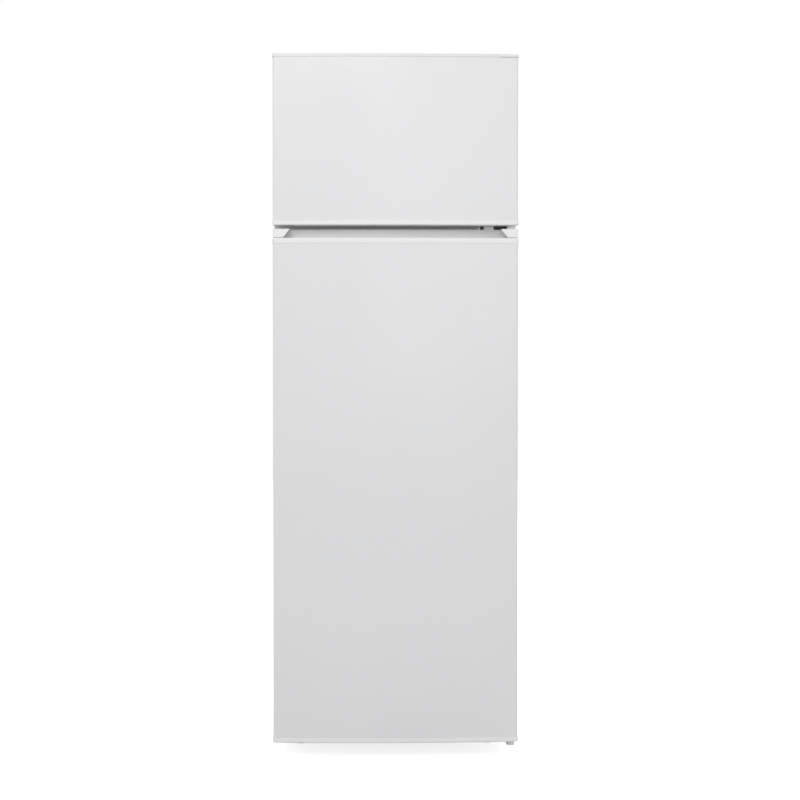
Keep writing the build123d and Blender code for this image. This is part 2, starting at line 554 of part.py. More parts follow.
def levelling_foot(side):
    """Front foot that turns in the nut of its plate."""
    with BuildPart() as foot:
        with BuildSketch():
            with Locations((side * FOOT_X, FOOT_Y)):
                Circle(PAD_RADIUS)
                with PolarLocations(PAD_RADIUS + 0.6, 12):
                    Circle(2.2, mode=Mode.SUBTRACT)
        extrude(amount=PAD_HEIGHT)
        with BuildSketch(Plane.XY.offset(PAD_HEIGHT)):
            with Locations((side * FOOT_X, FOOT_Y)):
                Circle(STUD_RADIUS + 4.0)
        extrude(amount=3.0)
        with BuildSketch(Plane.XY.offset(PAD_HEIGHT + 3.0)):
            with Locations((side * FOOT_X, FOOT_Y)):
                Circle(STUD_RADIUS)
        extrude(amount=BASE_Z - PAD_HEIGHT - 3.5)
    return foot


left_foot = levelling_foot(-1)
save(left_foot, "left_foot")
right_foot = levelling_foot(1)
save(right_foot, "right_foot")

# Carrier rail across the bay, its edges turned up
RAIL_SHEET = 2.0
CARRIER_FRONT_Y = BAY_FRONT_Y + 22.0
CARRIER_BACK_Y = CABINET_BACK_Y - 4.0
with BuildPart() as carrier_rail:
    block((-CABINET_HALF + SHEET, CABINET_HALF - SHEET), (CARRIER_FRONT_Y, CARRIER_BACK_Y),
          (BASE_Z, BASE_Z + 14.0))
    block((-CABINET_HALF + SHEET, CABINET_HALF - SHEET),
          (CARRIER_FRONT_Y + RAIL_SHEET, CARRIER_BACK_Y - RAIL_SHEET),
          (BASE_Z + RAIL_SHEET, BASE_Z + 14.0), Mode.SUBTRACT)

# Rear rollers: fork brackets with riveted axles under the carrier, and wheels
ROLLER_X = CABINET_HALF - 42.0
ROLLER_Y = CARRIER_BACK_Y - 24.0
WHEEL_RADIUS = 12.5
WHEEL_HALF = 6.0
AXLE_RADIUS = 3.0
FORK_HALF = WHEEL_HALF + SLIDE
with BuildPart() as roller_forks:
    for side in (-1, 1):
        x = side * ROLLER_X
        block((x - FORK_HALF - 2.0, x + FORK_HALF + 2.0), (ROLLER_Y - 14.0, ROLLER_Y + 14.0), (6.0, BASE_Z))
        block((x - FORK_HALF, x + FORK_HALF), (ROLLER_Y - 15.0, ROLLER_Y + 15.0),
              (0.0, BASE_Z - 2.0), Mode.SUBTRACT)
    for side in (-1, 1):
        with BuildSketch(Plane.YZ.offset(side * ROLLER_X)):
            with Locations((ROLLER_Y, WHEEL_RADIUS)):
                Circle(AXLE_RADIUS)
        extrude(amount=FORK_HALF + 3.5, both=True)
with carrier_rail:
    add(roller_forks.part)
save(carrier_rail, "carrier_rail")


def roller(side):
    """Rear wheel on its axle, with a hub groove each side."""
    with BuildPart() as wheel:
        with BuildSketch(Plane.YZ.offset(side * ROLLER_X)):
            with Locations((ROLLER_Y, WHEEL_RADIUS)):
                Circle(WHEEL_RADIUS)
                Circle(AXLE_RADIUS + RUN, mode=Mode.SUBTRACT)
        extrude(amount=WHEEL_HALF, both=True)
        for face_x in (-WHEEL_HALF, WHEEL_HALF - 1.5):
            with BuildSketch(Plane.YZ.offset(side * ROLLER_X + face_x)):
                with Locations((ROLLER_Y, WHEEL_RADIUS)):
                    Circle(WHEEL_RADIUS - 3.0)
                    Circle(AXLE_RADIUS + 2.5, mode=Mode.SUBTRACT)
            extrude(amount=1.5, mode=Mode.SUBTRACT)
    return wheel


left_roller = roller(-1)
save(left_roller, "left_roller")
right_roller = roller(1)
save(right_roller, "right_roller")

# Compressor: two pressed cans with a weld flange on a base plate
COMP_X = -20.0
COMP_Y = BAY_FRONT_Y + 76.0
COMP_RX = 88.0
COMP_RY = 55.0
MOUNT_HEIGHT = 13.0
COMP_PLATE_Z = BASE_Z + RAIL_SHEET + MOUNT_HEIGHT
COMP_PLATE = 3.0
COMP_HEIGHT = 128.0
COMP_TOP_Z = COMP_PLATE_Z + COMP_PLATE + COMP_HEIGHT
with BuildPart() as compressor:
    with BuildSketch(Plane.XY.offset(COMP_PLATE_Z)):
        with Locations((COMP_X, COMP_Y)):
            RectangleRounded(2 * COMP_RX + 24.0, 2 * COMP_RY - 6.0, 14.0)
    extrude(amount=COMP_PLATE)
    with BuildSketch(Plane.XY.offset(COMP_PLATE_Z + COMP_PLATE)):
        with Locations((COMP_X, COMP_Y)):
            RectangleRounded(2 * COMP_RX, 2 * COMP_RY, COMP_RY - 3.0)
    extrude(amount=COMP_HEIGHT)
    fillet(compressor.edges().group_by(Axis.Z)[-1], COMP_RY * 0.6)
    with BuildSketch(Plane.XY.offset(COMP_PLATE_Z + COMP_HEIGHT * 0.5)):
        with Locations((COMP_X, COMP_Y)):
            RectangleRounded(2 * COMP_RX + 8.0, 2 * COMP_RY + 8.0, COMP_RY + 1.0)
    extrude(amount=5.0)
save(compressor, "compressor")

# Rubber mounts under the compressor's plate
MOUNT_X = COMP_RX - 4.0
MOUNT_Y = COMP_RY - 16.0
with BuildPart() as rubber_mounts:
    with BuildSketch(Plane.XY.offset(BASE_Z + RAIL_SHEET)):
        with Locations((COMP_X, COMP_Y)):
            with GridLocations(2 * MOUNT_X, 2 * MOUNT_Y, 2, 2):
                Circle(10.0)
    extrude(amount=MOUNT_HEIGHT - 4.0)
    with BuildSketch(Plane.XY.offset(BASE_Z + RAIL_SHEET + MOUNT_HEIGHT - 4.0)):
        with Locations((COMP_X, COMP_Y)):
            with GridLocations(2 * MOUNT_X, 2 * MOUNT_Y, 2, 2):
                Circle(7.5)
    extrude(amount=4.0)
save(rubber_mounts, "rubber_mounts")

# Relay and terminal box against the compressor's left end
with BuildPart() as relay_box:
    block((COMP_X - COMP_RX - 40.0, COMP_X - COMP_RX + 12.0), (COMP_Y - 30.0, COMP_Y + 30.0),
          (COMP_PLATE_Z + COMP_PLATE + 14.0, COMP_PLATE_Z + COMP_PLATE + 84.0))
    fillet(relay_box.edges().filter_by(Axis.Y).group_by(Axis.X)[0], 5.0)
    with BuildSketch(Plane.XZ.offset(-COMP_Y - 30.0)):
        with Locations((COMP_X - COMP_RX - 22.0, COMP_PLATE_Z + COMP_PLATE + 34.0)):
            RectangleRounded(26.0, 22.0, 3.0)
    extrude(amount=8.0, mode=Mode.SUBTRACT)
    add(compressor.part, mode=Mode.SUBTRACT)
save(relay_box, "relay_box")

# Drip tray clipped over the compressor's top
TRAY_WALL = 1.6
TRAY_LENGTH = 150.0
TRAY_DEPTH = 92.0
TRAY_HEIGHT = 26.0
with BuildPart() as drip_tray:
    with BuildSketch(Plane.XY.offset(COMP_TOP_Z)):
        with Locations((COMP_X, COMP_Y)):
            RectangleRounded(TRAY_LENGTH, TRAY_DEPTH, 14.0)
    extrude(amount=TRAY_HEIGHT)
    offset(amount=-TRAY_WALL, openings=drip_tray.faces().sort_by(Axis.Z)[-1])
save(drip_tray, "drip_tray")

# Condenser: one tube from the compressor through the wire grid to the drier
TUBE_Y = CABINET_BACK_Y + 18.0
TUBE_RADIUS = 2.5
DRIER_GAP = 28.0
DRIER_STEP = 25.0
TUBE_HALF = CABINET_HALF - DRIER_GAP - DRIER_STEP
PASSES = 13
FIRST_PASS_Z = BAY_TOP_Z + 100.0
PASS_PITCH = (HEIGHT * 0.8 - FIRST_PASS_Z) / (PASSES - 1)
BEND = PASS_PITCH * 0.35
LAST_PASS_Z = FIRST_PASS_Z + (PASSES - 1) * PASS_PITCH
DISCHARGE_Z = COMP_PLATE_Z + 42.0
DRIER_X = DRIER_GAP - CABINET_HALF
DRIER_Y = CABINET_BACK_Y - 40.0
DRIER_TOP_Z = BAY_TOP_Z - 70.0
DRIER_LENGTH = 76.0
with BuildPart() as condenser_tube:
    run = [(COMP_X + COMP_RX - 20.0, COMP_Y + 24.0, DISCHARGE_Z), (TUBE_HALF, COMP_Y + 24.0, DISCHARGE_Z),
           (TUBE_HALF, TUBE_Y, DISCHARGE_Z)]
    for i in range(PASSES):
        ends = [(TUBE_HALF, TUBE_Y, FIRST_PASS_Z + i * PASS_PITCH),
                (-TUBE_HALF, TUBE_Y, FIRST_PASS_Z + i * PASS_PITCH)]
        run += ends if i % 2 == 0 else ends[::-1]
    run[-1] = (DRIER_X, TUBE_Y, LAST_PASS_Z)
    run += [(DRIER_X, TUBE_Y, BAY_TOP_Z - 32.0), (DRIER_X, DRIER_Y, BAY_TOP_Z - 32.0),
            (DRIER_X, DRIER_Y, DRIER_TOP_Z)]
    with BuildLine() as tube_run:
        FilletPolyline(*run, radius=BEND)
    with BuildSketch(Plane(origin=run[0], z_dir=(1, 0, 0))):
        RegularPolygon(TUBE_RADIUS, 8)
    sweep(path=tube_run.line)
    add(compressor.part, mode=Mode.SUBTRACT)
save(condenser_tube, "condenser_tube")

# Condenser wires, both sides of the tube
WIRE_RADIUS = 0.8
WIRE_PITCH = 10.0
WIRES = 32
WIRE_OUT = TUBE_RADIUS + WIRE_RADIUS + 0.1
with BuildPart() as condenser_wires:
    with BuildSketch(Plane.XY.offset(FIRST_PASS_Z - 16.0)):
        for wire_y in (TUBE_Y - WIRE_OUT, TUBE_Y + WIRE_OUT):
            with Locations((0, wire_y)):
                with GridLocations(WIRE_PITCH, 1.0, WIRES, 1):
                    RegularPolygon(WIRE_RADIUS, 6)
    extrude(amount=LAST_PASS_Z - FIRST_PASS_Z + 32.0)
save(condenser_wires, "condenser_wires")

# Spacers that hold the condenser and keep the back off the wall
SPACER_X = WIRES * WIRE_PITCH / 2 + 14.0
SPACER_LEVELS = [FIRST_PASS_Z + PASS_PITCH, LAST_PASS_Z - PASS_PITCH]
with BuildPart() as wall_spacers:
    for z in SPACER_LEVELS:
        for side in (-1, 1):
            x = side * SPACER_X
            block((x - 8.0, x + 8.0), (CABINET_BACK_Y - SHEET, DEPTH / 2), (z - 11.0, z + 11.0))
    fillet(wall_spacers.edges().filter_by(Axis.X).group_by(Axis.Y)[-1], 4.0)
    with BuildSketch(Plane.YZ):
        with Locations(*[(TUBE_Y, z) for z in SPACER_LEVELS]):
            Circle(TUBE_RADIUS + FIT)
    extrude(amount=WIDTH / 2, both=True, mode=Mode.SUBTRACT)
save(wall_spacers, "wall_spacers")

# Filter drier: copper capsule with coned ends
with BuildPart() as filter_drier:
    with BuildSketch(Plane(origin=(DRIER_X, DRIER_Y, DRIER_TOP_Z - DRIER_LENGTH), x_dir=(1, 0, 0),
                           z_dir=(0, -1, 0))):
        with BuildLine():
            Polyline((0, 0), (2.0, 0), (8.0, 10.0), (8.0, DRIER_LENGTH - 10.0), (3.2, DRIER_LENGTH),
                     (0, DRIER_LENGTH), close=True)
        make_face()
    revolve(axis=Axis((DRIER_X, DRIER_Y, 0), (0, 0, 1)))

# Capillary from the drier back up to the bay roof
CAPILLARY_RADIUS = 1.5
with BuildPart() as capillary:
    drier_low = DRIER_TOP_Z - DRIER_LENGTH
    with BuildLine() as capillary_run:
        FilletPolyline((DRIER_X, DRIER_Y, drier_low), (DRIER_X, DRIER_Y, drier_low - 16.0),
                       (DRIER_X + 26.0, DRIER_Y, drier_low - 16.0),
                       (DRIER_X + 26.0, DRIER_Y, BAY_TOP_Z - SHEET), radius=8.0)
    with BuildSketch(Plane(origin=(DRIER_X, DRIER_Y, drier_low), z_dir=(0, 0, -1))):
        RegularPolygon(CAPILLARY_RADIUS, 6)
    sweep(path=capillary_run.line)

# Suction line from the bay roof to the compressor
SUCTION_RADIUS = 3.5
SUCTION_Z = COMP_PLATE_Z + 84.0
with BuildPart() as suction_line:
    with BuildLine() as suction_run:
        FilletPolyline((LINE_HOLE_X, LINE_HOLE_Y, BAY_TOP_Z + 16.0), (LINE_HOLE_X, LINE_HOLE_Y, SUCTION_Z),
                       (LINE_HOLE_X, COMP_Y - 6.0, SUCTION_Z),
                       (COMP_X + COMP_RX - 30.0, COMP_Y - 6.0, SUCTION_Z), radius=12.0)
    with BuildSketch(Plane(origin=(LINE_HOLE_X, LINE_HOLE_Y, BAY_TOP_Z + 16.0), z_dir=(0, 0, -1))):
        RegularPolygon(SUCTION_RADIUS, 8)
    sweep(path=suction_run.line)
    add(compressor.part, mode=Mode.SUBTRACT)
    add(capillary.part)
    add(filter_drier.part)
save(suction_line, "return_pipes")

# Glass shelves of the fridge room, resting on the liner's ribs
SHELF_HALF = FRIDGE_HALF - 1.0
SHELF_BACK_Y = FRIDGE_BACK_Y - 4.0
for number, level in enumerate(SHELF_LEVELS, 1):
    with BuildPart() as glass_shelf:
        block((-SHELF_HALF, SHELF_HALF), (SHELF_FRONT_Y, SHELF_BACK_Y), (level, level + GLASS))
    save(glass_shelf, f"glass_shelf_{number}")

# Glass cover over the crisper
COVER_BACK_Y = STEP_Y - 2.0
with BuildPart() as crisper_cover:
    block((-SHELF_HALF, SHELF_HALF), (SHELF_FRONT_Y, COVER_BACK_Y),
          (CRISPER_COVER_Z, CRISPER_COVER_Z + GLASS))
save(crisper_cover, "crisper_cover")

# Shelf trims: a nose along each front edge, an upstand along each back edge
TRIM_WALL = 2.0
with BuildPart() as shelf_trims:
    for level in RIB_LEVELS:
        with BuildSketch(Plane.YZ):
            with BuildLine():
                Polyline((SHELF_FRONT_Y - TRIM_NOSE, level - TRIM_WALL - 4.0),
                         (SHELF_FRONT_Y, level - TRIM_WALL - 4.0), (SHELF_FRONT_Y, level - TRIM_WALL),
                         (SHELF_FRONT_Y + TRIM_GRIP, level - TRIM_WALL), (SHELF_FRONT_Y + TRIM_GRIP, level),
                         (SHELF_FRONT_Y, level), (SHELF_FRONT_Y, level + GLASS),
                         (SHELF_FRONT_Y + TRIM_GRIP, level + GLASS),
                         (SHELF_FRONT_Y + TRIM_GRIP, level + GLASS + TRIM_WALL),
                         (SHELF_FRONT_Y - TRIM_NOSE + 2.0, level + GLASS + TRIM_WALL),
                         (SHELF_FRONT_Y - TRIM_NOSE, level + GLASS), close=True)
            make_face()
        extrude(amount=SHELF_HALF, both=True)
    for level in SHELF_LEVELS:
        block((-SHELF_HALF, SHELF_HALF), (SHELF_BACK_Y - 12.0, SHELF_BACK_Y),
              (level + GLASS, level + GLASS + 3.0))
        block((-SHELF_HALF, SHELF_HALF), (SHELF_BACK_Y - 3.0, SHELF_BACK_Y),
              (level + GLASS, level + GLASS + 15.0))
save(shelf_trims, "shelf_trims")

# Crisper drawer: tapered box with a rim and a front grip
DRAWER_LOW = FRIDGE_FLOOR_Z + RUNNER_HEIGHT + SLIDE
DRAWER_HIGH = CRISPER_COVER_Z - RIB_HEIGHT - 4.0
DRAWER_HALF = FRIDGE_HALF - 6.0
DRAWER_BACK_Y = STEP_Y - 4.0
DRAWER_TAPER = 2.5
DRAWER_SLOT = 150.0
DRAWER_WALL = 2.4
DRAWER_LEAN = 0.0436609 * (DRAWER_HIGH - DRAWER_LOW)
DRAWER_MID_Y = (DRAWER_FRONT_Y + DRAWER_BACK_Y) / 2
with BuildPart() as crisper_drawer:
    with BuildSketch(Plane.XY.offset(DRAWER_LOW)):
        with Locations((0, DRAWER_MID_Y)):
            RectangleRounded(2 * (DRAWER_HALF - DRAWER_LEAN),
                             DRAWER_BACK_Y - DRAWER_FRONT_Y - 2 * DRAWER_LEAN, 12.0)
    extrude(amount=DRAWER_HIGH - DRAWER_LOW, taper=-DRAWER_TAPER)
    with BuildSketch(Plane.XY.offset(DRAWER_LOW + DRAWER_WALL)):
        with Locations((0, DRAWER_MID_Y)):
            RectangleRounded(2 * (DRAWER_HALF - DRAWER_LEAN - DRAWER_WALL),
                             DRAWER_BACK_Y - DRAWER_FRONT_Y - 2 * (DRAWER_LEAN + DRAWER_WALL), 10.0)
    extrude(amount=DRAWER_HIGH - DRAWER_LOW, taper=-DRAWER_TAPER, mode=Mode.SUBTRACT)
    with BuildSketch(Plane.XY.offset(DRAWER_HIGH - 22.0)):
        with Locations((0, DRAWER_FRONT_Y - 2.0)):
            RectangleRounded(2 * DRAWER_HALF - 40.0, 6.0, 2.0)
    extrude(amount=22.0)
    with BuildSketch(Plane.XY.offset(DRAWER_HIGH - 22.0)):
        with Locations((0, DRAWER_FRONT_Y - 2.0)):
            Rectangle(DRAWER_SLOT, 3.0)
    extrude(amount=14.0, mode=Mode.SUBTRACT)
save(crisper_drawer, "crisper_drawer")

# Freezer wire shelf: rods welded across three bearers
BEARER_RADIUS = 2.5
ROD_RADIUS = 1.8
BEARER_Z = FREEZER_SHELF_Z + BEARER_RADIUS * sqrt(3) / 2
ROD_Z = BEARER_Z + BEARER_RADIUS + 0.7
RODS = 17
ROD_FRONT_Y = FREEZER_RIB_FRONT_Y + 2.0
ROD_BACK_Y = FREEZER_BACK_Y - 24.0
with BuildPart() as freezer_shelf:
    with BuildSketch(Plane.YZ):
        for y in (ROD_FRONT_Y + 6.0, (ROD_FRONT_Y + ROD_BACK_Y) / 2, ROD_BACK_Y - 6.0):
            with Locations((y, BEARER_Z)):
                RegularPolygon(BEARER_RADIUS, 6)
    extrude(amount=FREEZER_HALF - 2.0, both=True)
    with BuildSketch(Plane.XZ.offset(-ROD_FRONT_Y)):
        with Locations((0, ROD_Z)):
            with GridLocations(2 * (FREEZER_HALF - 14.0) / (RODS - 1), 1.0, RODS, 1):
                RegularPolygon(ROD_RADIUS, 6)
    extrude(amount=-(ROD_BACK_Y - ROD_FRONT_Y))
save(freezer_shelf, "freezer_shelf")

# Thermostat housing on the fridge ceiling, open at the top, with lamp window and knob bore
HOUSING_HALF = 100.0
HOUSING_FRONT_Y = CABINET_FRONT_Y + 60.0
HOUSING_BACK_Y = HOUSING_FRONT_Y + 115.0
HOUSING_HEIGHT = 44.0
HOUSING_WALL = 2.2
HOUSING_LOW = FRIDGE_CEILING_Z - HOUSING_HEIGHT
WINDOW_X = (-84.0, -8.0)
WINDOW_Y = (HOUSING_FRONT_Y + 16.0, HOUSING_BACK_Y - 16.0)
KNOB_X = 55.0
KNOB_Z = FRIDGE_CEILING_Z - 22.0
KNOB_RADIUS = 15.0
KNOB_DEPTH = 12.0
SHAFT_RADIUS = 3.0
with BuildPart() as thermostat_housing:
    block((-HOUSING_HALF, HOUSING_HALF), (HOUSING_FRONT_Y, HOUSING_BACK_Y), (HOUSING_LOW, FRIDGE_CEILING_Z))
    fillet(thermostat_housing.edges().filter_by(Axis.Z), 8.0)
    fillet(thermostat_housing.faces().sort_by(Axis.Z)[0].edges(), 4.0)
    offset(amount=-HOUSING_WALL, openings=thermostat_housing.faces().sort_by(Axis.Z)[-1])
    block(WINDOW_X, WINDOW_Y, (HOUSING_LOW - 1.0, HOUSING_LOW + 2 * HOUSING_WALL), Mode.SUBTRACT)
    block((KNOB_X - 20.0, KNOB_X + 20.0), (HOUSING_FRONT_Y + HOUSING_WALL, HOUSING_FRONT_Y + 36.0),
          (KNOB_Z - 14.0, FRIDGE_CEILING_Z))
    with BuildSketch(Plane.XZ.offset(-HOUSING_FRONT_Y)):
        with Locations((KNOB_X, KNOB_Z)):
            Circle(SHAFT_RADIUS + RUN)
    extrude(amount=-14.0, mode=Mode.SUBTRACT)
save(thermostat_housing, "thermostat_housing")

# Thermostat knob with a finger ridge, on its shaft
with BuildPart() as thermostat_knob:
    with BuildSketch(Plane.XZ.offset(-HOUSING_FRONT_Y + SLIDE)):
        with Locations((KNOB_X, KNOB_Z)):
            Circle(KNOB_RADIUS)
    extrude(amount=KNOB_DEPTH / 2)
    with BuildSketch(Plane.XZ.offset(-HOUSING_FRONT_Y + SLIDE)):
        with Locations((KNOB_X, KNOB_Z)):
            SlotOverall(2 * KNOB_RADIUS - 2.0, 7.0, rotation=60)
    extrude(amount=KNOB_DEPTH)
    with BuildSketch(Plane.XZ.offset(-HOUSING_FRONT_Y + SLIDE)):
        with Locations((KNOB_X, KNOB_Z)):
            Circle(SHAFT_RADIUS)
    extrude(amount=-12.0)
save(thermostat_knob, "thermostat_knob")

# Lamp lens in the housing's window, and the lamp above it
with BuildPart() as lamp_lens:
    block((WINDOW_X[0] + FIT, WINDOW_X[1] - FIT), (WINDOW_Y[0] + FIT, WINDOW_Y[1] - FIT),
          (HOUSING_LOW - 4.0, HOUSING_LOW + HOUSING_WALL))
    fillet(lamp_lens.faces().sort_by(Axis.Z)[0].edges(), 2.5)
    block((WINDOW_X[0] + 2.0, WINDOW_X[1] - 2.0), (WINDOW_Y[0] + 2.0, WINDOW_Y[1] - 2.0),
          (HOUSING_LOW - 2.0, HOUSING_LOW + 2 * HOUSING_WALL), Mode.SUBTRACT)
save(lamp_lens, "lamp_lens")
LAMP_X = -HOUSING_HALF + HOUSING_WALL
LAMP_Y = (HOUSING_FRONT_Y + HOUSING_BACK_Y) / 2
LAMP_Z = FRIDGE_CEILING_Z - 20.0
LAMP_RADIUS = 10.0
with BuildPart() as lamp:
    with BuildSketch(Plane.XZ.offset(-LAMP_Y)):
        with BuildLine():
            Polyline((LAMP_X, LAMP_Z), (LAMP_X, LAMP_Z + 7.0), (LAMP_X + 18.0, LAMP_Z + 7.0),
                     (LAMP_X + 24.0, LAMP_Z + LAMP_RADIUS), (LAMP_X + 52.0, LAMP_Z + LAMP_RADIUS))
            Polyline((LAMP_X + 52.0, LAMP_Z + LAMP_RADIUS), (LAMP_X + 59.0, LAMP_Z + 0.7 * LAMP_RADIUS),
                     (LAMP_X + 62.0, LAMP_Z), (LAMP_X, LAMP_Z))
        make_face()
    revolve(axis=Axis((0, LAMP_Y, LAMP_Z), (1, 0, 0)))
save(lamp, "lamp")

# Door switch on the ceiling and its plunger against the door
SWITCH_INSET = 60.0
SWITCH_X = FRIDGE_HALF - SWITCH_INSET
SWITCH_HALF = 15.0
SWITCH_Z = FRIDGE_CEILING_Z - 13.0
SWITCH_FRONT_Y = CABINET_FRONT_Y + 6.0
PLUNGER_RADIUS = 4.5
PLUNGER_LENGTH = 36.0
PLUNGER_TIP_Y = DOOR_BACK_Y + SLIDE
with BuildPart() as door_switch:
    block((SWITCH_X - SWITCH_HALF, SWITCH_X + SWITCH_HALF), (SWITCH_FRONT_Y, SWITCH_FRONT_Y + 36.0),
          (FRIDGE_CEILING_Z - 26.0, FRIDGE_CEILING_Z))
    fillet(door_switch.faces().sort_by(Axis.Z)[0].edges(), 3.0)
    with BuildSketch(Plane.XZ.offset(-SWITCH_FRONT_Y)):
        with Locations((SWITCH_X, SWITCH_Z)):
            Circle(PLUNGER_RADIUS + RUN)
    extrude(amount=-24.0, mode=Mode.SUBTRACT)
save(door_switch, "door_switch")
with BuildPart() as switch_plunger:
    with BuildSketch(Plane.XZ.offset(-PLUNGER_TIP_Y)):
        with Locations((SWITCH_X, SWITCH_Z)):
            Circle(PLUNGER_RADIUS)
    extrude(amount=-PLUNGER_LENGTH)
    chamfer(switch_plunger.faces().sort_by(Axis.Y)[0].edges(), 1.6)
save(switch_plunger, "switch_plunger")

# Grip recess: bowed like the door front, longer at the bottom than at the top
LIP_THICK = 8.0
GRIP_DEPTH = 39.0
SCOOP_DROP = 20.0
BOWL_WALL = 2.5
GRIP_TOP_HALF = WIDTH / 2 - 38.0
GRIP_LOW_HALF = WIDTH / 2 - 23.0
GRIP_OPEN = GRIP_RISE + 6.0
GRIP_SLOPE = (GRIP_LOW_HALF - GRIP_TOP_HALF) / GRIP_RISE


def bowed_bar(section_points, rounds, end_half, end_low):
    """Solid swept along the door's bow, with ends that lean inwards towards the top."""
    half = WIDTH / 2
    side_y = FRONT_Y + DOOR_BOW
    lean_top = end_half - GRIP_SLOPE * GRIP_OPEN
    with BuildPart() as bar:
        with BuildLine() as bow:
            ThreePointArc((-half, side_y, LIP_Z), (0, FRONT_Y, LIP_Z), (half, side_y, LIP_Z))
        start = bow.line @ 0
        along = bow.line % 0
        inward = Vector(0, 0, 1).cross(along)
        with BuildSketch(Plane(origin=start, x_dir=inward, z_dir=along)) as section:
            with BuildLine():
                Polyline(*section_points, close=True)
            make_face()
            fillet(section.vertices().sort_by(Axis.Y)[:2], rounds)
        sweep(path=bow.line)
        with BuildSketch(Plane.XZ.offset(-FRONT_Y + 30.0)) as ends:
            with BuildLine():
                Polyline((-end_half, LIP_Z - end_low), (end_half, LIP_Z - end_low), (end_half, LIP_Z),
                         (lean_top, LIP_Z + GRIP_OPEN), (-lean_top, LIP_Z + GRIP_OPEN), (-end_half, LIP_Z),
                         close=True)
            make_face()
        extrude(amount=-(DOOR_BOW + DOOR_SIDE_DEPTH + 30.0), mode=Mode.INTERSECT)
    return bar


scoop = bowed_bar([(-20.0, GRIP_OPEN), (-20.0, 0), (LIP_THICK, 0), (LIP_THICK + 2.0, -SCOOP_DROP),
                   (GRIP_DEPTH - 6.0, -SCOOP_DROP), (GRIP_DEPTH, GRIP_OPEN)], 7.0,
                  GRIP_LOW_HALF, SCOOP_DROP + 5.0)
bowl = bowed_bar([(LIP_THICK - BOWL_WALL, -1.0), (LIP_THICK - BOWL_WALL + 1.5, -SCOOP_DROP - BOWL_WALL),
                  (GRIP_DEPTH - 6.0 + BOWL_WALL, -SCOOP_DROP - BOWL_WALL),
                  (GRIP_DEPTH + BOWL_WALL, -1.0)], 8.0,
                 GRIP_LOW_HALF + BOWL_WALL, SCOOP_DROP + BOWL_WALL + 5.0)

# Locating rims and hinge bosses of the door end caps
RIM_WIDTH = 3.0
RIM_HEIGHT = 8.0
RIM_INSET = CAP_OVERHANG + SHEET + FIT
RIM_BACK = LINER_WALL + FIT
BOSS_RADIUS = 11.5
BORE_DEPTH = PIN_REACH + 2.0
BOSS_DEPTH = BORE_DEPTH + 4.0


def rim_plan():
    """Plan of the rim that seats a cap inside the door skin."""
    with BuildSketch() as rim:
        add(door_plan(RIM_INSET, RIM_BACK))
        add(door_plan(RIM_INSET + RIM_WIDTH, RIM_BACK + RIM_WIDTH), mode=Mode.SUBTRACT)
    return rim.sketch


def hinge_points(sides):
    """Hinge centres of the given sides, right 1 and left -1."""
    return [(side * HINGE_X, HINGE_Y) for side in sides]


def disc(z, height, radius, sides, mode=Mode.ADD):
    """Upright cylinders on the hinge centres, grown up or down from a height."""
    with BuildSketch(Plane.XY.offset(z)) as discs:
        with Locations(*hinge_points(sides)):
            Circle(radius)
    extrude(discs.sketch, amount=height, mode=mode)


def bottom_cap(low):
    """Lower end cap of a door, bored for a hinge pin at both ends."""
    with BuildPart() as cap:
        with BuildSketch(Plane.XY.offset(low)):
            add(door_plan(0))
        extrude(amount=END_BAND)
        fillet(cap.faces().sort_by(Axis.Z)[0].edges().sort_by(Axis.Y)[:-1], 3.0)
        with BuildSketch(Plane.XY.offset(low + END_BAND)):
            add(rim_plan())
        extrude(amount=RIM_HEIGHT)
        disc(low + END_BAND, BOSS_DEPTH - END_BAND, BOSS_RADIUS, (-1, 1))
        with BuildSketch(Plane.XY.offset(low)):
            with Locations((0, DOOR_BACK_Y - 22.0)):
                with GridLocations(92.0, 1.0, 5, 1):
                    RectangleRounded(80.0, 26.0, 4.0)
        extrude(amount=END_BAND - 3.0, mode=Mode.SUBTRACT)
        disc(low - SEAT_RING, SEAT_RING, SEAT_RADIUS, (1,))
        disc(low - SEAT_RING, BORE_DEPTH + SEAT_RING, PIN_RADIUS + RUN, (-1, 1), Mode.SUBTRACT)
    return cap


def panel_space(low, high, mode):
    """Slab that a door's inner panel takes up at the door's back."""
    block((-PANEL_HALF - FIT, PANEL_HALF + FIT), (DOOR_BACK_Y - LINER_WALL, DOOR_BACK_Y + 1.0),
          (low, high), mode)


def door_liner(low, high, dyke_half, dyke_low, dyke_high, dyke_depth, bump_levels):
    """Inner panel: flat sheet with a hollow raised frame that holds the door bins."""
    mid = (dyke_low + dyke_high) / 2
    tall = dyke_high - dyke_low
    inner_half = dyke_half - DYKE_WIDTH
    with BuildPart() as panel:
        with BuildSketch(Plane.XZ.offset(-DOOR_BACK_Y)):
            with Locations((0, mid)):
                RectangleRounded(2 * dyke_half, tall, 14.0)
                Rectangle(2 * inner_half, tall - 2 * DYKE_WIDTH, mode=Mode.SUBTRACT)
        extrude(amount=-dyke_depth)
        fillet(panel.faces().sort_by(Axis.Y)[-1].edges(), DYKE_ROUND)
        block((-PANEL_HALF, PANEL_HALF), (DOOR_BACK_Y - LINER_WALL, DOOR_BACK_Y), (low, high))
        with BuildSketch(Plane.XZ.offset(-DOOR_BACK_Y + LINER_WALL)):
            with Locations((0, mid)):
                RectangleRounded(2 * (dyke_half - LINER_WALL), tall - 2 * LINER_WALL, 12.0)
                Rectangle(2 * (inner_half + LINER_WALL), tall - 2 * DYKE_WIDTH + 2 * LINER_WALL,
                          mode=Mode.SUBTRACT)
        extrude(amount=-dyke_depth, mode=Mode.SUBTRACT)
        for level in bump_levels:
            for side in (-1, 1):
                bump = sorted((side * inner_half, side * (inner_half - 7.0)))
                block(bump, (DOOR_BACK_Y + 8.0, DOOR_BACK_Y + dyke_depth - 8.0), (level - 8.0, level))
    return panel


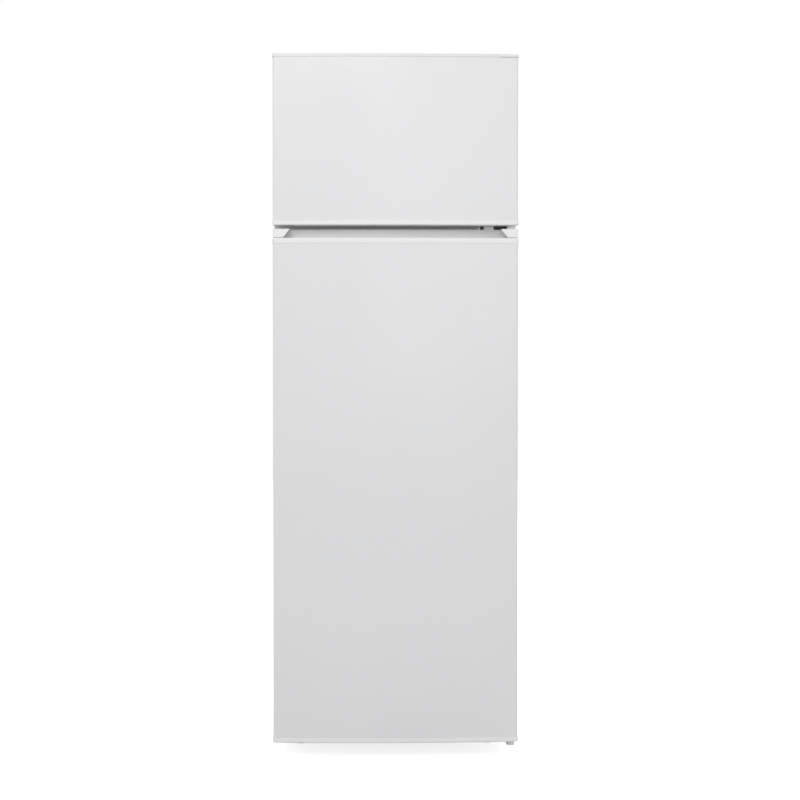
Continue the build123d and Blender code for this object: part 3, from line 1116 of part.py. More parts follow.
def door_core(dyke_half, dyke_low, dyke_high, dyke_depth):
    """Four foam strips that fill the hollow of an inner panel's raised frame, just clear of the slab."""
    mid = (dyke_low + dyke_high) / 2
    tall = dyke_high - dyke_low
    inner_half = dyke_half - DYKE_WIDTH + LINER_WALL
    inner_tall = tall - 2 * DYKE_WIDTH + 2 * LINER_WALL
    with BuildSketch(Plane.XZ.offset(-DOOR_BACK_Y + LINER_WALL - FIT)) as core:
        with Locations((0, mid)):
            RectangleRounded(2 * (dyke_half - LINER_WALL), tall - 2 * LINER_WALL, 12.0)
            Rectangle(2 * inner_half, inner_tall, mode=Mode.SUBTRACT)
        with GridLocations(0, inner_tall - FIT, 1, 2):
            with Locations((0, mid)):
                Rectangle(2 * dyke_half, FIT, mode=Mode.SUBTRACT)
    extrude(core.sketch, amount=-dyke_depth)


def gasket(low, high):
    """Door seal: dart, waist and magnet head as one loop."""
    steps = [(0.0, 4.0, 5.0, 8.0), (4.0, 7.0, 6.0, 6.0), (7.0, GASKET_DEPTH - SLIDE, 0.0, GASKET_HEAD)]
    with BuildPart() as seal:
        for start, end, inset, width in steps:
            half = GASKET_HALF - inset
            tall = high - low - 2 * inset
            with BuildSketch(Plane.XZ.offset(-DOOR_BACK_Y - start)):
                with Locations((0, (low + high) / 2)):
                    Rectangle(2 * half, tall)
                    Rectangle(2 * (half - width), tall - 2 * width, mode=Mode.SUBTRACT)
            extrude(amount=-(end - start))
    return seal


def door_skin(low, high):
    """Painted steel front wrapped round both sides with narrow returns at the back."""
    with BuildPart() as skin:
        with BuildSketch(Plane.XY.offset(low)):
            add(door_plan(CAP_OVERHANG))
            add(door_plan(CAP_OVERHANG + SHEET, SHEET), mode=Mode.SUBTRACT)
            with Locations((0, DOOR_BACK_Y)):
                Rectangle(2 * (SKIN_HALF - RETURN_FLANGE), 4 * SHEET, mode=Mode.SUBTRACT)
        extrude(amount=high - low)
    return skin


def door_bin(floor_z, height, depth, half):
    """Door shelf: rounded tray, low at the back, open at the top."""
    back_y = DOOR_BACK_Y + 0.2
    with BuildPart() as tray:
        with BuildSketch(Plane.XY.offset(floor_z)) as plan:
            with Locations((0, back_y + depth / 2)):
                Rectangle(2 * half, depth)
            fillet(plan.vertices().group_by(Axis.Y)[-1], 22.0)
        extrude(amount=height)
        with BuildSketch(Plane.XY.offset(floor_z + BIN_WALL)) as hollow:
            with Locations((0, back_y + depth / 2)):
                Rectangle(2 * (half - BIN_WALL), depth - 2 * BIN_WALL)
            fillet(hollow.vertices().group_by(Axis.Y)[-1], 22.0 - BIN_WALL)
        extrude(amount=height, mode=Mode.SUBTRACT)
        block((-half + BIN_WALL, half - BIN_WALL), (back_y - 1.0, back_y + BIN_WALL),
              (floor_z + height * 0.35, floor_z + height + 1.0), Mode.SUBTRACT)
        with BuildSketch(Plane.XZ.offset(-back_y - depth)):
            with Locations((0, floor_z + height - 5.0)):
                Rectangle(2 * half - 46.0, 6.0)
        extrude(amount=-2.0)
    return tray


# Fridge door: skin, grip cap, bottom cap, inner panel, foam, seal and bins
FRIDGE_DYKE_LOW = FRIDGE_FLOOR_Z + 22.0
FRIDGE_DYKE_HIGH = FRIDGE_CEILING_Z - 50.0
FRIDGE_PANEL_HIGH = GRIP_TOP_Z - 3.0
BOTTLE_Z = FRIDGE_DYKE_LOW + DYKE_WIDTH
BIN_LEVELS = [BOTTLE_Z + (FRIDGE_DYKE_HIGH - BOTTLE_Z) * part for part in (0.41, 0.73)]
BIN_HALF = FRIDGE_DYKE_HALF - DYKE_WIDTH - FIT
fridge_door_skin = door_skin(FRIDGE_SKIN_LOW, FRIDGE_SKIN_HIGH)
save(fridge_door_skin, "fridge_door_skin")
fridge_door_bottom_cap = bottom_cap(FLOOR_GAP)
save(fridge_door_bottom_cap, "fridge_door_bottom_cap")
GROOVE_HEIGHT = 2.0
GROOVE_DEPTH = 3.4
with BuildPart() as fridge_door_grip_cap:
    with BuildSketch(Plane.XY.offset(FRIDGE_SKIN_HIGH)):
        add(door_plan(0))
    extrude(amount=LIP_BAND)
    fillet(fridge_door_grip_cap.faces().sort_by(Axis.Z)[-1].edges().sort_by(Axis.Y)[:-1], 2.0)
    with BuildSketch(Plane.XY.offset(LIP_Z)):
        add(door_plan(CAP_OVERHANG))
    extrude(amount=GRIP_RISE)
    with BuildSketch(Plane.XY.offset(LIP_Z)):
        add(door_plan(CAP_OVERHANG - 1.0))
        add(door_plan(CAP_OVERHANG + GROOVE_DEPTH, 1.0), mode=Mode.SUBTRACT)
    extrude(amount=GROOVE_HEIGHT, mode=Mode.SUBTRACT)
    add(bowl.part)
    with BuildSketch(Plane.XY.offset(FRIDGE_SKIN_HIGH - RIM_HEIGHT)):
        add(rim_plan())
    extrude(amount=RIM_HEIGHT)
    add(scoop.part, mode=Mode.SUBTRACT)
    disc(GRIP_TOP_Z, SEAT_RING, SEAT_RADIUS, (1,))
    disc(GRIP_TOP_Z - BORE_DEPTH, BORE_DEPTH + SEAT_RING, PIN_RADIUS + RUN, (-1, 1), Mode.SUBTRACT)
    panel_space(FRIDGE_SKIN_HIGH - RIM_HEIGHT, FRIDGE_PANEL_HIGH, Mode.SUBTRACT)
save(fridge_door_grip_cap, "fridge_door_grip_cap")
fridge_door_liner = door_liner(FRIDGE_SKIN_LOW + FIT, FRIDGE_PANEL_HIGH - FIT, FRIDGE_DYKE_HALF,
                               FRIDGE_DYKE_LOW, FRIDGE_DYKE_HIGH, FRIDGE_DYKE_DEPTH, BIN_LEVELS)
save(fridge_door_liner, "fridge_door_liner")
with BuildPart() as fridge_door_foam:
    with BuildSketch(Plane.XY.offset(FRIDGE_SKIN_LOW)):
        add(door_plan(CAP_OVERHANG + SHEET, SHEET))
    extrude(amount=FRIDGE_SKIN_HIGH - FRIDGE_SKIN_LOW)
    panel_space(FRIDGE_SKIN_LOW, FRIDGE_PANEL_HIGH, Mode.SUBTRACT)
    door_core(FRIDGE_DYKE_HALF, FRIDGE_DYKE_LOW, FRIDGE_DYKE_HIGH, FRIDGE_DYKE_DEPTH)
    add(fridge_door_bottom_cap.part, mode=Mode.SUBTRACT)
    add(scoop.part, mode=Mode.SUBTRACT)
    add(fridge_door_grip_cap.part, mode=Mode.SUBTRACT)
    add(fridge_door_liner.part, mode=Mode.SUBTRACT)
    disc(FLOOR_GAP, BOSS_DEPTH, BOSS_RADIUS, (-1, 1), Mode.SUBTRACT)
save(fridge_door_foam, "fridge_door_foam")
fridge_door_gasket = gasket(FLOOR_GAP + 17.5, MULLION_Z - 16.0)
save(fridge_door_gasket, "fridge_door_gasket")
BOTTLE_HEIGHT = 100.0
BOTTLE_DEPTH = 112.0
bottle_bin = door_bin(BOTTLE_Z, BOTTLE_HEIGHT, BOTTLE_DEPTH, BIN_HALF)
save(bottle_bin, "bottle_bin")
BIN_HEIGHT = 78.0
BIN_DEPTH = 95.0
for number, level in enumerate(BIN_LEVELS, 1):
    small_bin = door_bin(level, BIN_HEIGHT, BIN_DEPTH, BIN_HALF)
    save(small_bin, f"door_bin_{number}")

# Freezer door: skin, two caps, hinge cover, inner panel, foam, seal and bin
RECESS_Z = SHELL_TOP_Z - SEAT_RING - SLIDE
RECESS_X = WIDTH / 2 - 41.0
FREEZER_DYKE_LOW = FREEZER_FLOOR_Z + 18.0
FREEZER_DYKE_HIGH = FREEZER_CEILING_Z - 18.0
FREEZER_PANEL_LOW = FREEZER_DOOR_Z + 3.0
FREEZER_PANEL_HIGH = RECESS_Z - 3.0
FREEZER_BIN_Z = FREEZER_DYKE_LOW + DYKE_WIDTH
SEAM = 0.8
freezer_door_skin = door_skin(FREEZER_SKIN_LOW, FREEZER_SKIN_HIGH)
with freezer_door_skin:
    block((RECESS_X + 12.0, WIDTH / 2 + 5.0), (FRONT_Y + DOOR_BOW + 4.0, DOOR_BACK_Y + 5.0),
          (RECESS_Z, FREEZER_SKIN_HIGH + 1.0), Mode.SUBTRACT)
    block((RECESS_X, WIDTH / 2 + 5.0), (FRONT_Y - 5.0, HINGE_Y),
          (FREEZER_SKIN_HIGH - SEAM, FREEZER_SKIN_HIGH + 1.0), Mode.SUBTRACT)
save(freezer_door_skin, "freezer_door_skin")
freezer_door_bottom_cap = bottom_cap(FREEZER_DOOR_Z)
with freezer_door_bottom_cap:
    panel_space(FREEZER_PANEL_LOW, FREEZER_SKIN_LOW + RIM_HEIGHT, Mode.SUBTRACT)
save(freezer_door_bottom_cap, "freezer_door_bottom_cap")
with BuildPart() as freezer_door_top_cap:
    with BuildSketch(Plane.XY.offset(FREEZER_SKIN_HIGH)):
        add(door_plan(0))
    extrude(amount=TOP_BAND)
    fillet(freezer_door_top_cap.faces().sort_by(Axis.Z)[-1].edges().sort_by(Axis.Y)[:-1], 2.5)
    with BuildSketch(Plane.XY.offset(FREEZER_SKIN_HIGH - RIM_HEIGHT - 6.0)):
        add(rim_plan())
    extrude(amount=RIM_HEIGHT + 6.0)
    with BuildSketch(Plane.XY.offset(RECESS_Z - BOSS_DEPTH)):
        add(door_plan(RIM_INSET, RIM_BACK))
        with Locations((RECESS_X - 8.0 - WIDTH, 0)):
            Rectangle(2 * WIDTH, 2 * DEPTH, mode=Mode.SUBTRACT)
    extrude(amount=FREEZER_SKIN_HIGH - RECESS_Z + BOSS_DEPTH)
    block((RECESS_X, WIDTH), (FRONT_Y - 5.0, DOOR_BACK_Y + 5.0), (RECESS_Z, HEIGHT + 5.0), Mode.SUBTRACT)
    disc(RECESS_Z, SEAT_RING, SEAT_RADIUS, (1,))
    disc(RECESS_Z - BORE_DEPTH, BORE_DEPTH + SEAT_RING, PIN_RADIUS + RUN, (1,), Mode.SUBTRACT)
    panel_space(RECESS_Z - BOSS_DEPTH, FREEZER_PANEL_HIGH + FIT, Mode.SUBTRACT)
save(freezer_door_top_cap, "freezer_door_top_cap")
with BuildPart() as freezer_door_hinge_cover:
    with BuildSketch(Plane.XY.offset(FREEZER_SKIN_HIGH)):
        add(door_plan(0))
        with Locations((RECESS_X + FIT - WIDTH, 0)):
            Rectangle(2 * WIDTH, 2 * DEPTH, mode=Mode.SUBTRACT)
    extrude(amount=TOP_BAND)
    fillet(freezer_door_hinge_cover.faces().sort_by(Axis.Z)[-1].edges().sort_by(Axis.Y)[0], 2.5)
save(freezer_door_hinge_cover, "freezer_door_hinge_cover")
freezer_door_liner = door_liner(FREEZER_PANEL_LOW + FIT, FREEZER_PANEL_HIGH, FREEZER_DYKE_HALF,
                                FREEZER_DYKE_LOW, FREEZER_DYKE_HIGH, FREEZER_DYKE_DEPTH, [])
save(freezer_door_liner, "freezer_door_liner")
with BuildPart() as freezer_door_foam:
    with BuildSketch(Plane.XY.offset(FREEZER_SKIN_LOW)):
        add(door_plan(CAP_OVERHANG + SHEET, SHEET))
    extrude(amount=FREEZER_SKIN_HIGH - FREEZER_SKIN_LOW)
    panel_space(FREEZER_SKIN_LOW, FREEZER_PANEL_HIGH + FIT, Mode.SUBTRACT)
    door_core(FREEZER_DYKE_HALF, FREEZER_DYKE_LOW, FREEZER_DYKE_HIGH, FREEZER_DYKE_DEPTH)
    add(freezer_door_bottom_cap.part, mode=Mode.SUBTRACT)
    block((RECESS_X - 8.0, WIDTH), (FRONT_Y, DOOR_BACK_Y + 5.0), (RECESS_Z - BOSS_DEPTH, HEIGHT),
          Mode.SUBTRACT)
    add(freezer_door_top_cap.part, mode=Mode.SUBTRACT)
    add(freezer_door_liner.part, mode=Mode.SUBTRACT)
    disc(FREEZER_DOOR_Z, BOSS_DEPTH, BOSS_RADIUS, (-1, 1), Mode.SUBTRACT)
save(freezer_door_foam, "freezer_door_foam")
freezer_door_gasket = gasket(MULLION_Z + 16.0, SHELL_TOP_Z - 5.0)
save(freezer_door_gasket, "freezer_door_gasket")
FREEZER_BIN_HEIGHT = 68.0
FREEZER_BIN_DEPTH = 76.0
freezer_bin = door_bin(FREEZER_BIN_Z, FREEZER_BIN_HEIGHT, FREEZER_BIN_DEPTH,
                       FREEZER_DYKE_HALF - DYKE_WIDTH - FIT)
save(freezer_bin, "freezer_bin")
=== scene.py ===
"""Top freezer refrigerator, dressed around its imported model.

Surfaces are worked out in millimetres and placed in metres, and everything else is in metres.
x runs to the hinge side, y to the back, z up, and the doors face -y.
"""
import logging
from dataclasses import dataclass
from enum import Enum
from typing import Sequence, Union

import bpy
import numpy as np
from mathutils import Euler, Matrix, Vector


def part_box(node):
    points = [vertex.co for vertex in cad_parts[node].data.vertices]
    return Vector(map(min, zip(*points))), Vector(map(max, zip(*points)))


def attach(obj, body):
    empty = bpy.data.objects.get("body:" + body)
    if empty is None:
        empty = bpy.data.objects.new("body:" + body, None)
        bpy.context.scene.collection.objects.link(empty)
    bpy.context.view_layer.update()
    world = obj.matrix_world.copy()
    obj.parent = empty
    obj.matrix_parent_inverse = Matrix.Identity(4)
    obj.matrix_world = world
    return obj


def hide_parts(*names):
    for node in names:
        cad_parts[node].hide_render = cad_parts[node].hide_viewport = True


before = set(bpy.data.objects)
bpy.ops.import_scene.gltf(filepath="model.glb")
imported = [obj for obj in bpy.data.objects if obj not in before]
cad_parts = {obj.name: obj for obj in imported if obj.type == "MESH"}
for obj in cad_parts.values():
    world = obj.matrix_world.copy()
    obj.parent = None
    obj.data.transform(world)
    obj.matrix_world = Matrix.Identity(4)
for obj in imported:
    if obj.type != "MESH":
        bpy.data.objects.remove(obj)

LOG = logging.getLogger("refrigerator")
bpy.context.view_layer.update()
MM = 0.001
SMOOTH_ANGLE = np.radians(32.0)
Point = Sequence[float]
Spot = tuple[float, float, float]
Colour = tuple[float, float, float]
Pair = tuple[float, float]
Pairs = tuple[Pair, ...]
Values = Union[float, np.ndarray]
Tree = bpy.types.NodeTree
Socket = bpy.types.NodeSocket
Feed = Union[float, tuple, Socket]


class Body(Enum):
    """Rigid bodies that pieces ride on."""

    CABINET = "cabinet"
    FREEZER_DOOR = "freezer_door"
    FRIDGE_DOOR = "fridge_door"


class Way(Enum):
    """Direction that a turned piece points in, as its axis and two axes across it."""

    UP = ((0, 0, 1), (1, 0, 0), (0, 1, 0))
    DOWN = ((0, 0, -1), (1, 0, 0), (0, -1, 0))
    FRONT = ((0, -1, 0), (1, 0, 0), (0, 0, 1))
    BACK = ((0, 1, 0), (-1, 0, 0), (0, 0, 1))
    RIGHT = ((1, 0, 0), (0, 1, 0), (0, 0, 1))


# Meshes


def linked(name: str, data: bpy.types.ID) -> bpy.types.Object:
    """Adds a new object to the scene.

    Args:
        name: Name of the object.
        data: Its mesh, light or camera.

    Returns:
        The object.
    """
    made = bpy.data.objects.new(name, data)
    bpy.context.scene.collection.objects.link(made)
    return made


def grid_of(*measures: Values) -> np.ndarray:
    """Spreads coordinates to one shape and stacks them into a grid of points."""
    return np.stack(np.broadcast_arrays(*measures), axis=-1)


def quads_of(index: np.ndarray) -> np.ndarray:
    """Gives the four-sided faces between neighbours in a grid of point numbers."""
    return np.stack([index[:-1, :-1], index[1:, :-1], index[1:, 1:], index[:-1, 1:]], axis=-1).reshape(-1, 4)


@dataclass
class Shell:
    """Points in millimetres, four-sided faces and end caps of one surface, worked out as whole arrays."""

    points: np.ndarray
    quads: np.ndarray
    caps: tuple[np.ndarray, ...] = ()

    @classmethod
    def from_grid(cls, grid: np.ndarray, loop: bool = False) -> "Shell":
        """Covers a grid of points whose rows run round in rings.

        Args:
            grid: Points as rows, columns and x, y, z.
            loop: Joins the last row to the first, instead of closing both with one face each.

        Returns:
            The closed surface through the grid, facing out.
        """
        rows, columns = grid.shape[:2]
        index = np.arange(rows * columns).reshape(rows, columns)
        index = np.concatenate([index, index[:, :1]], axis=1)
        if loop:
            index = np.concatenate([index, index[:1]])
        first = np.arange(columns)
        caps = () if loop else (first, first[::-1] + (rows - 1) * columns)
        return cls(grid.reshape(-1, 3), quads_of(index), caps).outward()

    @classmethod
    def relief(cls, grid: np.ndarray, back: Spot) -> "Shell":
        """Closes a raised sheet with a copy of itself moved by back, joined along all four edges."""
        return cls.from_grid(np.concatenate([grid, (grid + back)[:, ::-1]], axis=1))

    @classmethod
    def joined(cls, shells: Sequence["Shell"]) -> "Shell":
        """Puts several surfaces into one.

        Args:
            shells: The surfaces, of which each keeps its own points.

        Returns:
            The joined surface.
        """
        starts = np.cumsum([0] + [len(shell.points) for shell in shells])
        quads = [shell.quads + start for shell, start in zip(shells, starts)]
        caps = [cap + start for shell, start in zip(shells, starts) for cap in shell.caps]
        points = np.concatenate([shell.points for shell in shells])
        return cls(points, np.concatenate(quads), tuple(caps))

    def outward(self) -> "Shell":
        """Turns a closed surface so that its faces point out, by the sign of its volume.

        Returns:
            The surface itself, or one with every face turned round.
        """
        fans = [self.quads[:, [0, 1, 2]], self.quads[:, [0, 2, 3]]]
        fans += [np.column_stack([np.full(len(cap) - 2, cap[0]), cap[1:-1], cap[2:]]) for cap in self.caps]
        corners = self.points[np.concatenate(fans)]
        volume = np.einsum("ij,ij->i", corners[:, 0], np.cross(corners[:, 1], corners[:, 2])).sum()
        if volume > 0:
            return self
        return Shell(self.points, self.quads[:, ::-1], tuple(cap[::-1] for cap in self.caps))

    def placed(self, name: str, slot: str, finish: "Finish", body: Body = Body.CABINET) -> bpy.types.Object:
        """Makes the surface an object that rides on a body.

        Args:
            name: Name of the piece.
            slot: Material slot of the record that it belongs to; not used.
            finish: Finish that it wears.
            body: Body that carries it.

        Returns:
            The new object, at the origin.
        """
        mesh = bpy.data.meshes.new(name)
        faces = self.quads.tolist() + [cap.tolist() for cap in self.caps]
        mesh.from_pydata((self.points * MM).tolist(), [], faces)
        mesh.polygons.foreach_set("use_smooth", np.ones(len(mesh.polygons), bool))
        mesh.set_sharp_from_angle(angle=SMOOTH_ANGLE)
        mesh.materials.append(finish.material())
        mesh.update()
        piece = linked(name, mesh)
        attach(piece, body.value)
        LOG.info("%s: %d faces on %s", name, len(mesh.polygons), body.value)
        return piece


def box_of(node: str) -> tuple[np.ndarray, np.ndarray]:
    """Gives the low and the high corner of a node's box, in millimetres."""
    low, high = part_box(node)
    return np.array(low) / MM, np.array(high) / MM


def round_angles(steps: int) -> np.ndarray:
    """Gives angles that divide a full turn evenly."""
    return np.linspace(0.0, 2 * np.pi, steps, endpoint=False)


def turned(profile: np.ndarray, at: Point, way: Way = Way.UP, steps: int = 32, loop: bool = False) -> Shell:
    """Turns a profile about an axis.

    The point for radius r, height h and angle a is at + r cos(a) u + r sin(a) v + h axis.

    Args:
        profile: Radius and height of each row, or of each row and step, from one end to the other.
        at: Point on the axis at height 0.
        way: Direction of the axis.
        steps: Points round the axis.
        loop: Joins the profile's last row to its first, for a ring.

    Returns:
        The turned surface, with a flat face at each end or closed as a ring.
    """
    axis, u, v = np.array(way.value, float)
    angle = round_angles(steps)[:, None]
    across = np.cos(angle) * u + np.sin(angle) * v
    rows = profile.reshape(len(profile), -1, 2)
    return Shell.from_grid(np.asarray(at, float) + rows[..., :1] * across + rows[..., 1:] * axis, loop)


def rounded_run(corners: Sequence[Point], radius: float, steps: int = 7) -> np.ndarray:
    """Rounds the right-angled corners of a run of straight stretches.

    With unit directions i into a corner p and o out of it, the arc's centre is p - r i + r o and its points
    are centre - r cos(t) o + r sin(t) i for t from 0 to a quarter turn.

    Args:
        corners: Points of the run.
        radius: Radius at each inner corner.
        steps: Points on each arc.

    Returns:
        Points along the rounded run.
    """
    run = np.asarray(corners, float)
    way = np.diff(run, axis=0)
    way /= np.linalg.norm(way, axis=1, keepdims=True)
    into, out = way[:-1, None], way[1:, None]
    turn = np.linspace(0.0, np.pi / 2, steps)[None, :, None]
    centre = run[1:-1, None] + radius * (out - into)
    arcs = centre - radius * np.cos(turn) * out + radius * np.sin(turn) * into
    return np.concatenate([run[:1], arcs.reshape(-1, 3), run[-1:]])


def tube(path: np.ndarray, radius: Values, sides: int = 12) -> Shell:
    """Carries a circle along a path.

    Each ring lies across the path's direction t: its first axis is a fixed leaning vector with its part
    along t taken off, and its second is t crossed with the first.

    Args:
        path: Points along the middle of the tube.
        radius: One radius, or one for each point.
        sides: Points round the tube.

    Returns:
        The closed tube.
    """
    along = np.gradient(path, axis=0)
    along /= np.linalg.norm(along, axis=1, keepdims=True)
    lean = np.array([0.36, 0.80, 0.48])
    first = lean - (along @ lean)[:, None] * along
    first /= np.linalg.norm(first, axis=1, keepdims=True)
    second = np.cross(along, first)
    angle = round_angles(sides)[None, :, None]
    across = np.cos(angle) * first[:, None] + np.sin(angle) * second[:, None]
    size = np.broadcast_to(radius, len(path))[:, None, None]
    return Shell.from_grid(path[:, None] + size * across)


# Finishes


class Graph:
    """Short ways to add and join nodes in one node tree."""

    # A mix node keeps its colour sockets behind those for numbers and vectors.
    MIX_FIRST, MIX_SECOND, MIX_RESULT = 6, 7, 2
    # A noise hardly leaves this part of its range from 0 to 1.
    NOISE_LOW, NOISE_HIGH = 0.3, 0.7

    def __init__(self, tree: Tree) -> None:
        """Takes the tree to work on."""
        self.tree = tree

    def feed(self, node: bpy.types.Node, **values: Feed) -> None:
        """Feeds a node's inputs by name, with _ for a space, from values or sockets."""
        for name, value in values.items():
            self.put(node.inputs[name.replace("_", " ")], value)

    def put(self, socket: Socket, value: Feed) -> None:
        """Feeds one input.

        Args:
            socket: The input.
            value: Output to link to it, or a plain value to set on it.
        """
        if isinstance(value, Socket):
            self.tree.links.new(value, socket)
        else:
            socket.default_value = value

    def add(self, kind: str, **values: Feed) -> bpy.types.Node:
        """Adds a shader node.

        Args:
            kind: The node's type, without ShaderNode before it.
            **values: What its inputs are fed with.

        Returns:
            The node.
        """
        node = self.tree.nodes.new("ShaderNode" + kind)
        self.feed(node, **values)
        return node

    def maths(self, operation: str, first: Feed, second: Feed) -> Socket:
        """Combines two numbers.

        Args:
            operation: Name of the maths operation.
            first: Number or socket.
            second: Number or socket.

        Returns:
            The result's socket.
        """
        node = self.add("Math")
        node.operation = operation
        self.put(node.inputs[0], first)
        self.put(node.inputs[1], second)
        return node.outputs[0]

    def mixed(self, share: Feed, first: Feed, second: Feed, blend: str = "MIX") -> Socket:
        """Mixes two colours.

        Args:
            share: Share of the second colour.
            first: Colour or socket.
            second: Colour or socket.
            blend: Blending mode.

        Returns:
            The mixed colour's socket.
        """
        node = self.add("Mix", Factor=share)
        node.data_type = "RGBA"
        node.blend_type = blend
        self.put(node.inputs[self.MIX_FIRST], first)
        self.put(node.inputs[self.MIX_SECOND], second)
        return node.outputs[self.MIX_RESULT]

    def noise(self, scale: Feed, detail: float = 2.0) -> Socket:
        """Adds a noise in object space of so many waves a metre."""
        place = self.add("TexCoord").outputs["Object"]
        return self.add("TexNoise", Vector=place, Scale=scale, Detail=detail).outputs["Fac"]

    def ranged(self, noise: Socket, low: Feed, high: Feed) -> Socket:
        """Maps a noise on to the range from low to high."""
        node = self.add("MapRange", Value=noise, From_Min=self.NOISE_LOW, From_Max=self.NOISE_HIGH,
                        To_Min=low, To_Max=high)
        return node.outputs["Result"]


class Group(Graph):
    """Node group of one shared effect, with inputs and a single output."""

    KINDS = {float: "NodeSocketFloat", tuple: "NodeSocketColor"}

    def __init__(self, name: str, output: str, kind: type, **inputs: Feed) -> None:
        """Starts a group.

        Args:
            name: Name of the group.
            output: Name of the output.
            kind: float for a number's output and tuple for a colour's.
            **inputs: Default values of the inputs, with _ for a space in their names.
        """
        super().__init__(bpy.data.node_groups.new(name, "ShaderNodeTree"))
        face = self.tree.interface
        for label, value in inputs.items():
            socket = face.new_socket(label.replace("_", " "), in_out="INPUT",
                                     socket_type=self.KINDS[type(value)])
            socket.default_value = value
        face.new_socket(output, in_out="OUTPUT", socket_type=self.KINDS[kind])
        self.enter = self.tree.nodes.new("NodeGroupInput").outputs

    def closed(self, value: Socket) -> Tree:
        """Hands a value out of the group and gives the finished tree."""
        self.put(self.tree.nodes.new("NodeGroupOutput").inputs[0], value)
        return self.tree


class Effect(Enum):
    """Surface effects that several finishes share, each a node group."""

    TONE = "tone_drift"
    GLOSS = "gloss_drift"
    PEEL = "orange_peel"
    GRAIN = "mould_grain"


class EffectShop:
    """Builds each shared effect once and hands it out."""

    # Waves a metre of a height's fine and slow noise, and the share of the slow one.
    HEIGHTS = {Effect.PEEL: (420.0, 60.0, 0.3), Effect.GRAIN: (1500.0, 30.0, 0.2)}

    def get(self, effect: Effect) -> Tree:
        """Gives the node group of an effect, building it on first use."""
        makers = {Effect.TONE: self.tone_drift, Effect.GLOSS: self.gloss_drift}
        return bpy.data.node_groups.get(effect.value) or makers.get(effect, self.height)(effect)

    def tone_drift(self, effect: Effect) -> Tree:
        """Builds a slow drift of a colour between two tones, with a finer fleck over it.

        Args:
            effect: Effect that names the group.

        Returns:
            The node group.
        """
        group = Group(effect.value, "Color", tuple, Tone=(0.8, 0.8, 0.8, 1.0),
                      Far_Tone=(0.7, 0.7, 0.7, 1.0), Scale=4.0)
        slow = group.ranged(group.noise(group.enter["Scale"]), 0.0, 0.8)
        fleck = group.ranged(group.noise(260.0, 3.0), 0.0, 0.2)
        share = group.maths("ADD", slow, fleck)
        return group.closed(group.mixed(share, group.enter["Tone"], group.enter["Far Tone"]))

    def gloss_drift(self, effect: Effect) -> Tree:
        """Builds a roughness that wanders between two values, as on wiped and handled surfaces."""
        group = Group(effect.value, "Roughness", float, Low=0.25, High=0.35)
        return group.closed(group.ranged(group.noise(9.0, 4.0), group.enter["Low"], group.enter["High"]))

    def height(self, effect: Effect) -> Tree:
        """Builds a height: the orange peel of sprayed enamel, or the grain of an eroded mould.

        Args:
            effect: Which of the two.

        Returns:
            The node group.
        """
        fine, slow, share = self.HEIGHTS[effect]
        group = Group(effect.value, "Height", float)
        mix = group.add("Mix", Factor=share, A=group.noise(fine), B=group.noise(slow))
        return group.closed(mix.outputs["Result"])


EFFECTS = EffectShop()


class Shader(Graph):
    """Node tree of one material, round one surface shader."""

    def __init__(self, name: str) -> None:
        """Starts a material with its surface shader.

        Args:
            name: Name of the material.
        """
        self.material = bpy.data.materials.new(name)
        self.material.use_nodes = True
        super().__init__(self.material.node_tree)
        self.tree.nodes.clear()
        self.surface = self.add("BsdfPrincipled")
        self.add("OutputMaterial", Surface=self.surface.outputs["BSDF"])

    def set(self, **values: Feed) -> None:
        """Feeds the surface shader's own sockets."""
        self.feed(self.surface, **values)

    def effect(self, effect: Effect, **values: Feed) -> Socket:
        """Places a shared effect.

        Args:
            effect: The effect.
            **values: What its inputs are fed with.

        Returns:
            Its output.
        """
        node = self.add("Group")
        node.node_tree = EFFECTS.get(effect)
        self.feed(node, **values)
        return node.outputs[0]

    def drift(self, tone: Colour, far: Colour, scale: float) -> Socket:
        """Gives a colour that drifts slowly between two tones."""
        return self.effect(Effect.TONE, Tone=(*tone, 1.0), Far_Tone=(*far, 1.0), Scale=scale)

    def relief(self, height: Socket, strength: float, distance: float) -> None:
        """Bumps the normal by a height."""
        bump = self.add("Bump", Height=height, Strength=strength, Distance=distance)
        self.set(Normal=bump.outputs["Normal"])


@dataclass(frozen=True)
class Finish:
    """A surface finish: its two close tones and its range of gloss."""

    name: str
    tone: Colour
    far: Colour
    rough: Pair
    scale: float = 3.0

    def material(self) -> bpy.types.Material:
        """Looks the finish's material up, building it on first use.

        Returns:
            The material.
        """
        made = bpy.data.materials.get(self.name)
        if made is None:
            shader = Shader(self.name)
            low, high = self.rough
            shader.set(Base_Color=shader.drift(self.tone, self.far, self.scale),
                       Roughness=shader.effect(Effect.GLOSS, Low=low, High=high))
            self.dress(shader)
            made = shader.material
        return made

    def dress(self, shader: Shader) -> None:
        """Adds what sets this kind of finish apart."""


@dataclass(frozen=True)
class Enamel(Finish):
    """Sprayed paint on sheet steel, with orange peel under a clear gloss."""

    peel: float = 0.12
    peel_depth: float = 0.4 * MM
    coat: float = 0.25
    coat_rough: float = 0.12

    def dress(self, shader: Shader) -> None:
        """Adds the orange peel and the top gloss."""
        shader.set(Coat_Weight=self.coat, Coat_Roughness=self.coat_rough)
        shader.relief(shader.effect(Effect.PEEL), self.peel, self.peel_depth)


@dataclass(frozen=True)
class Moulding(Finish):
    """Moulded plastic or rubber with the grain of its mould."""

    grain: float = 0.15
    grain_depth: float = 0.2 * MM
    specular: float = 0.5

    def dress(self, shader: Shader) -> None:
        """Adds the mould's grain and the strength of its sheen."""
        shader.set(Specular_IOR_Level=self.specular)
        shader.relief(shader.effect(Effect.GRAIN), self.grain, self.grain_depth)


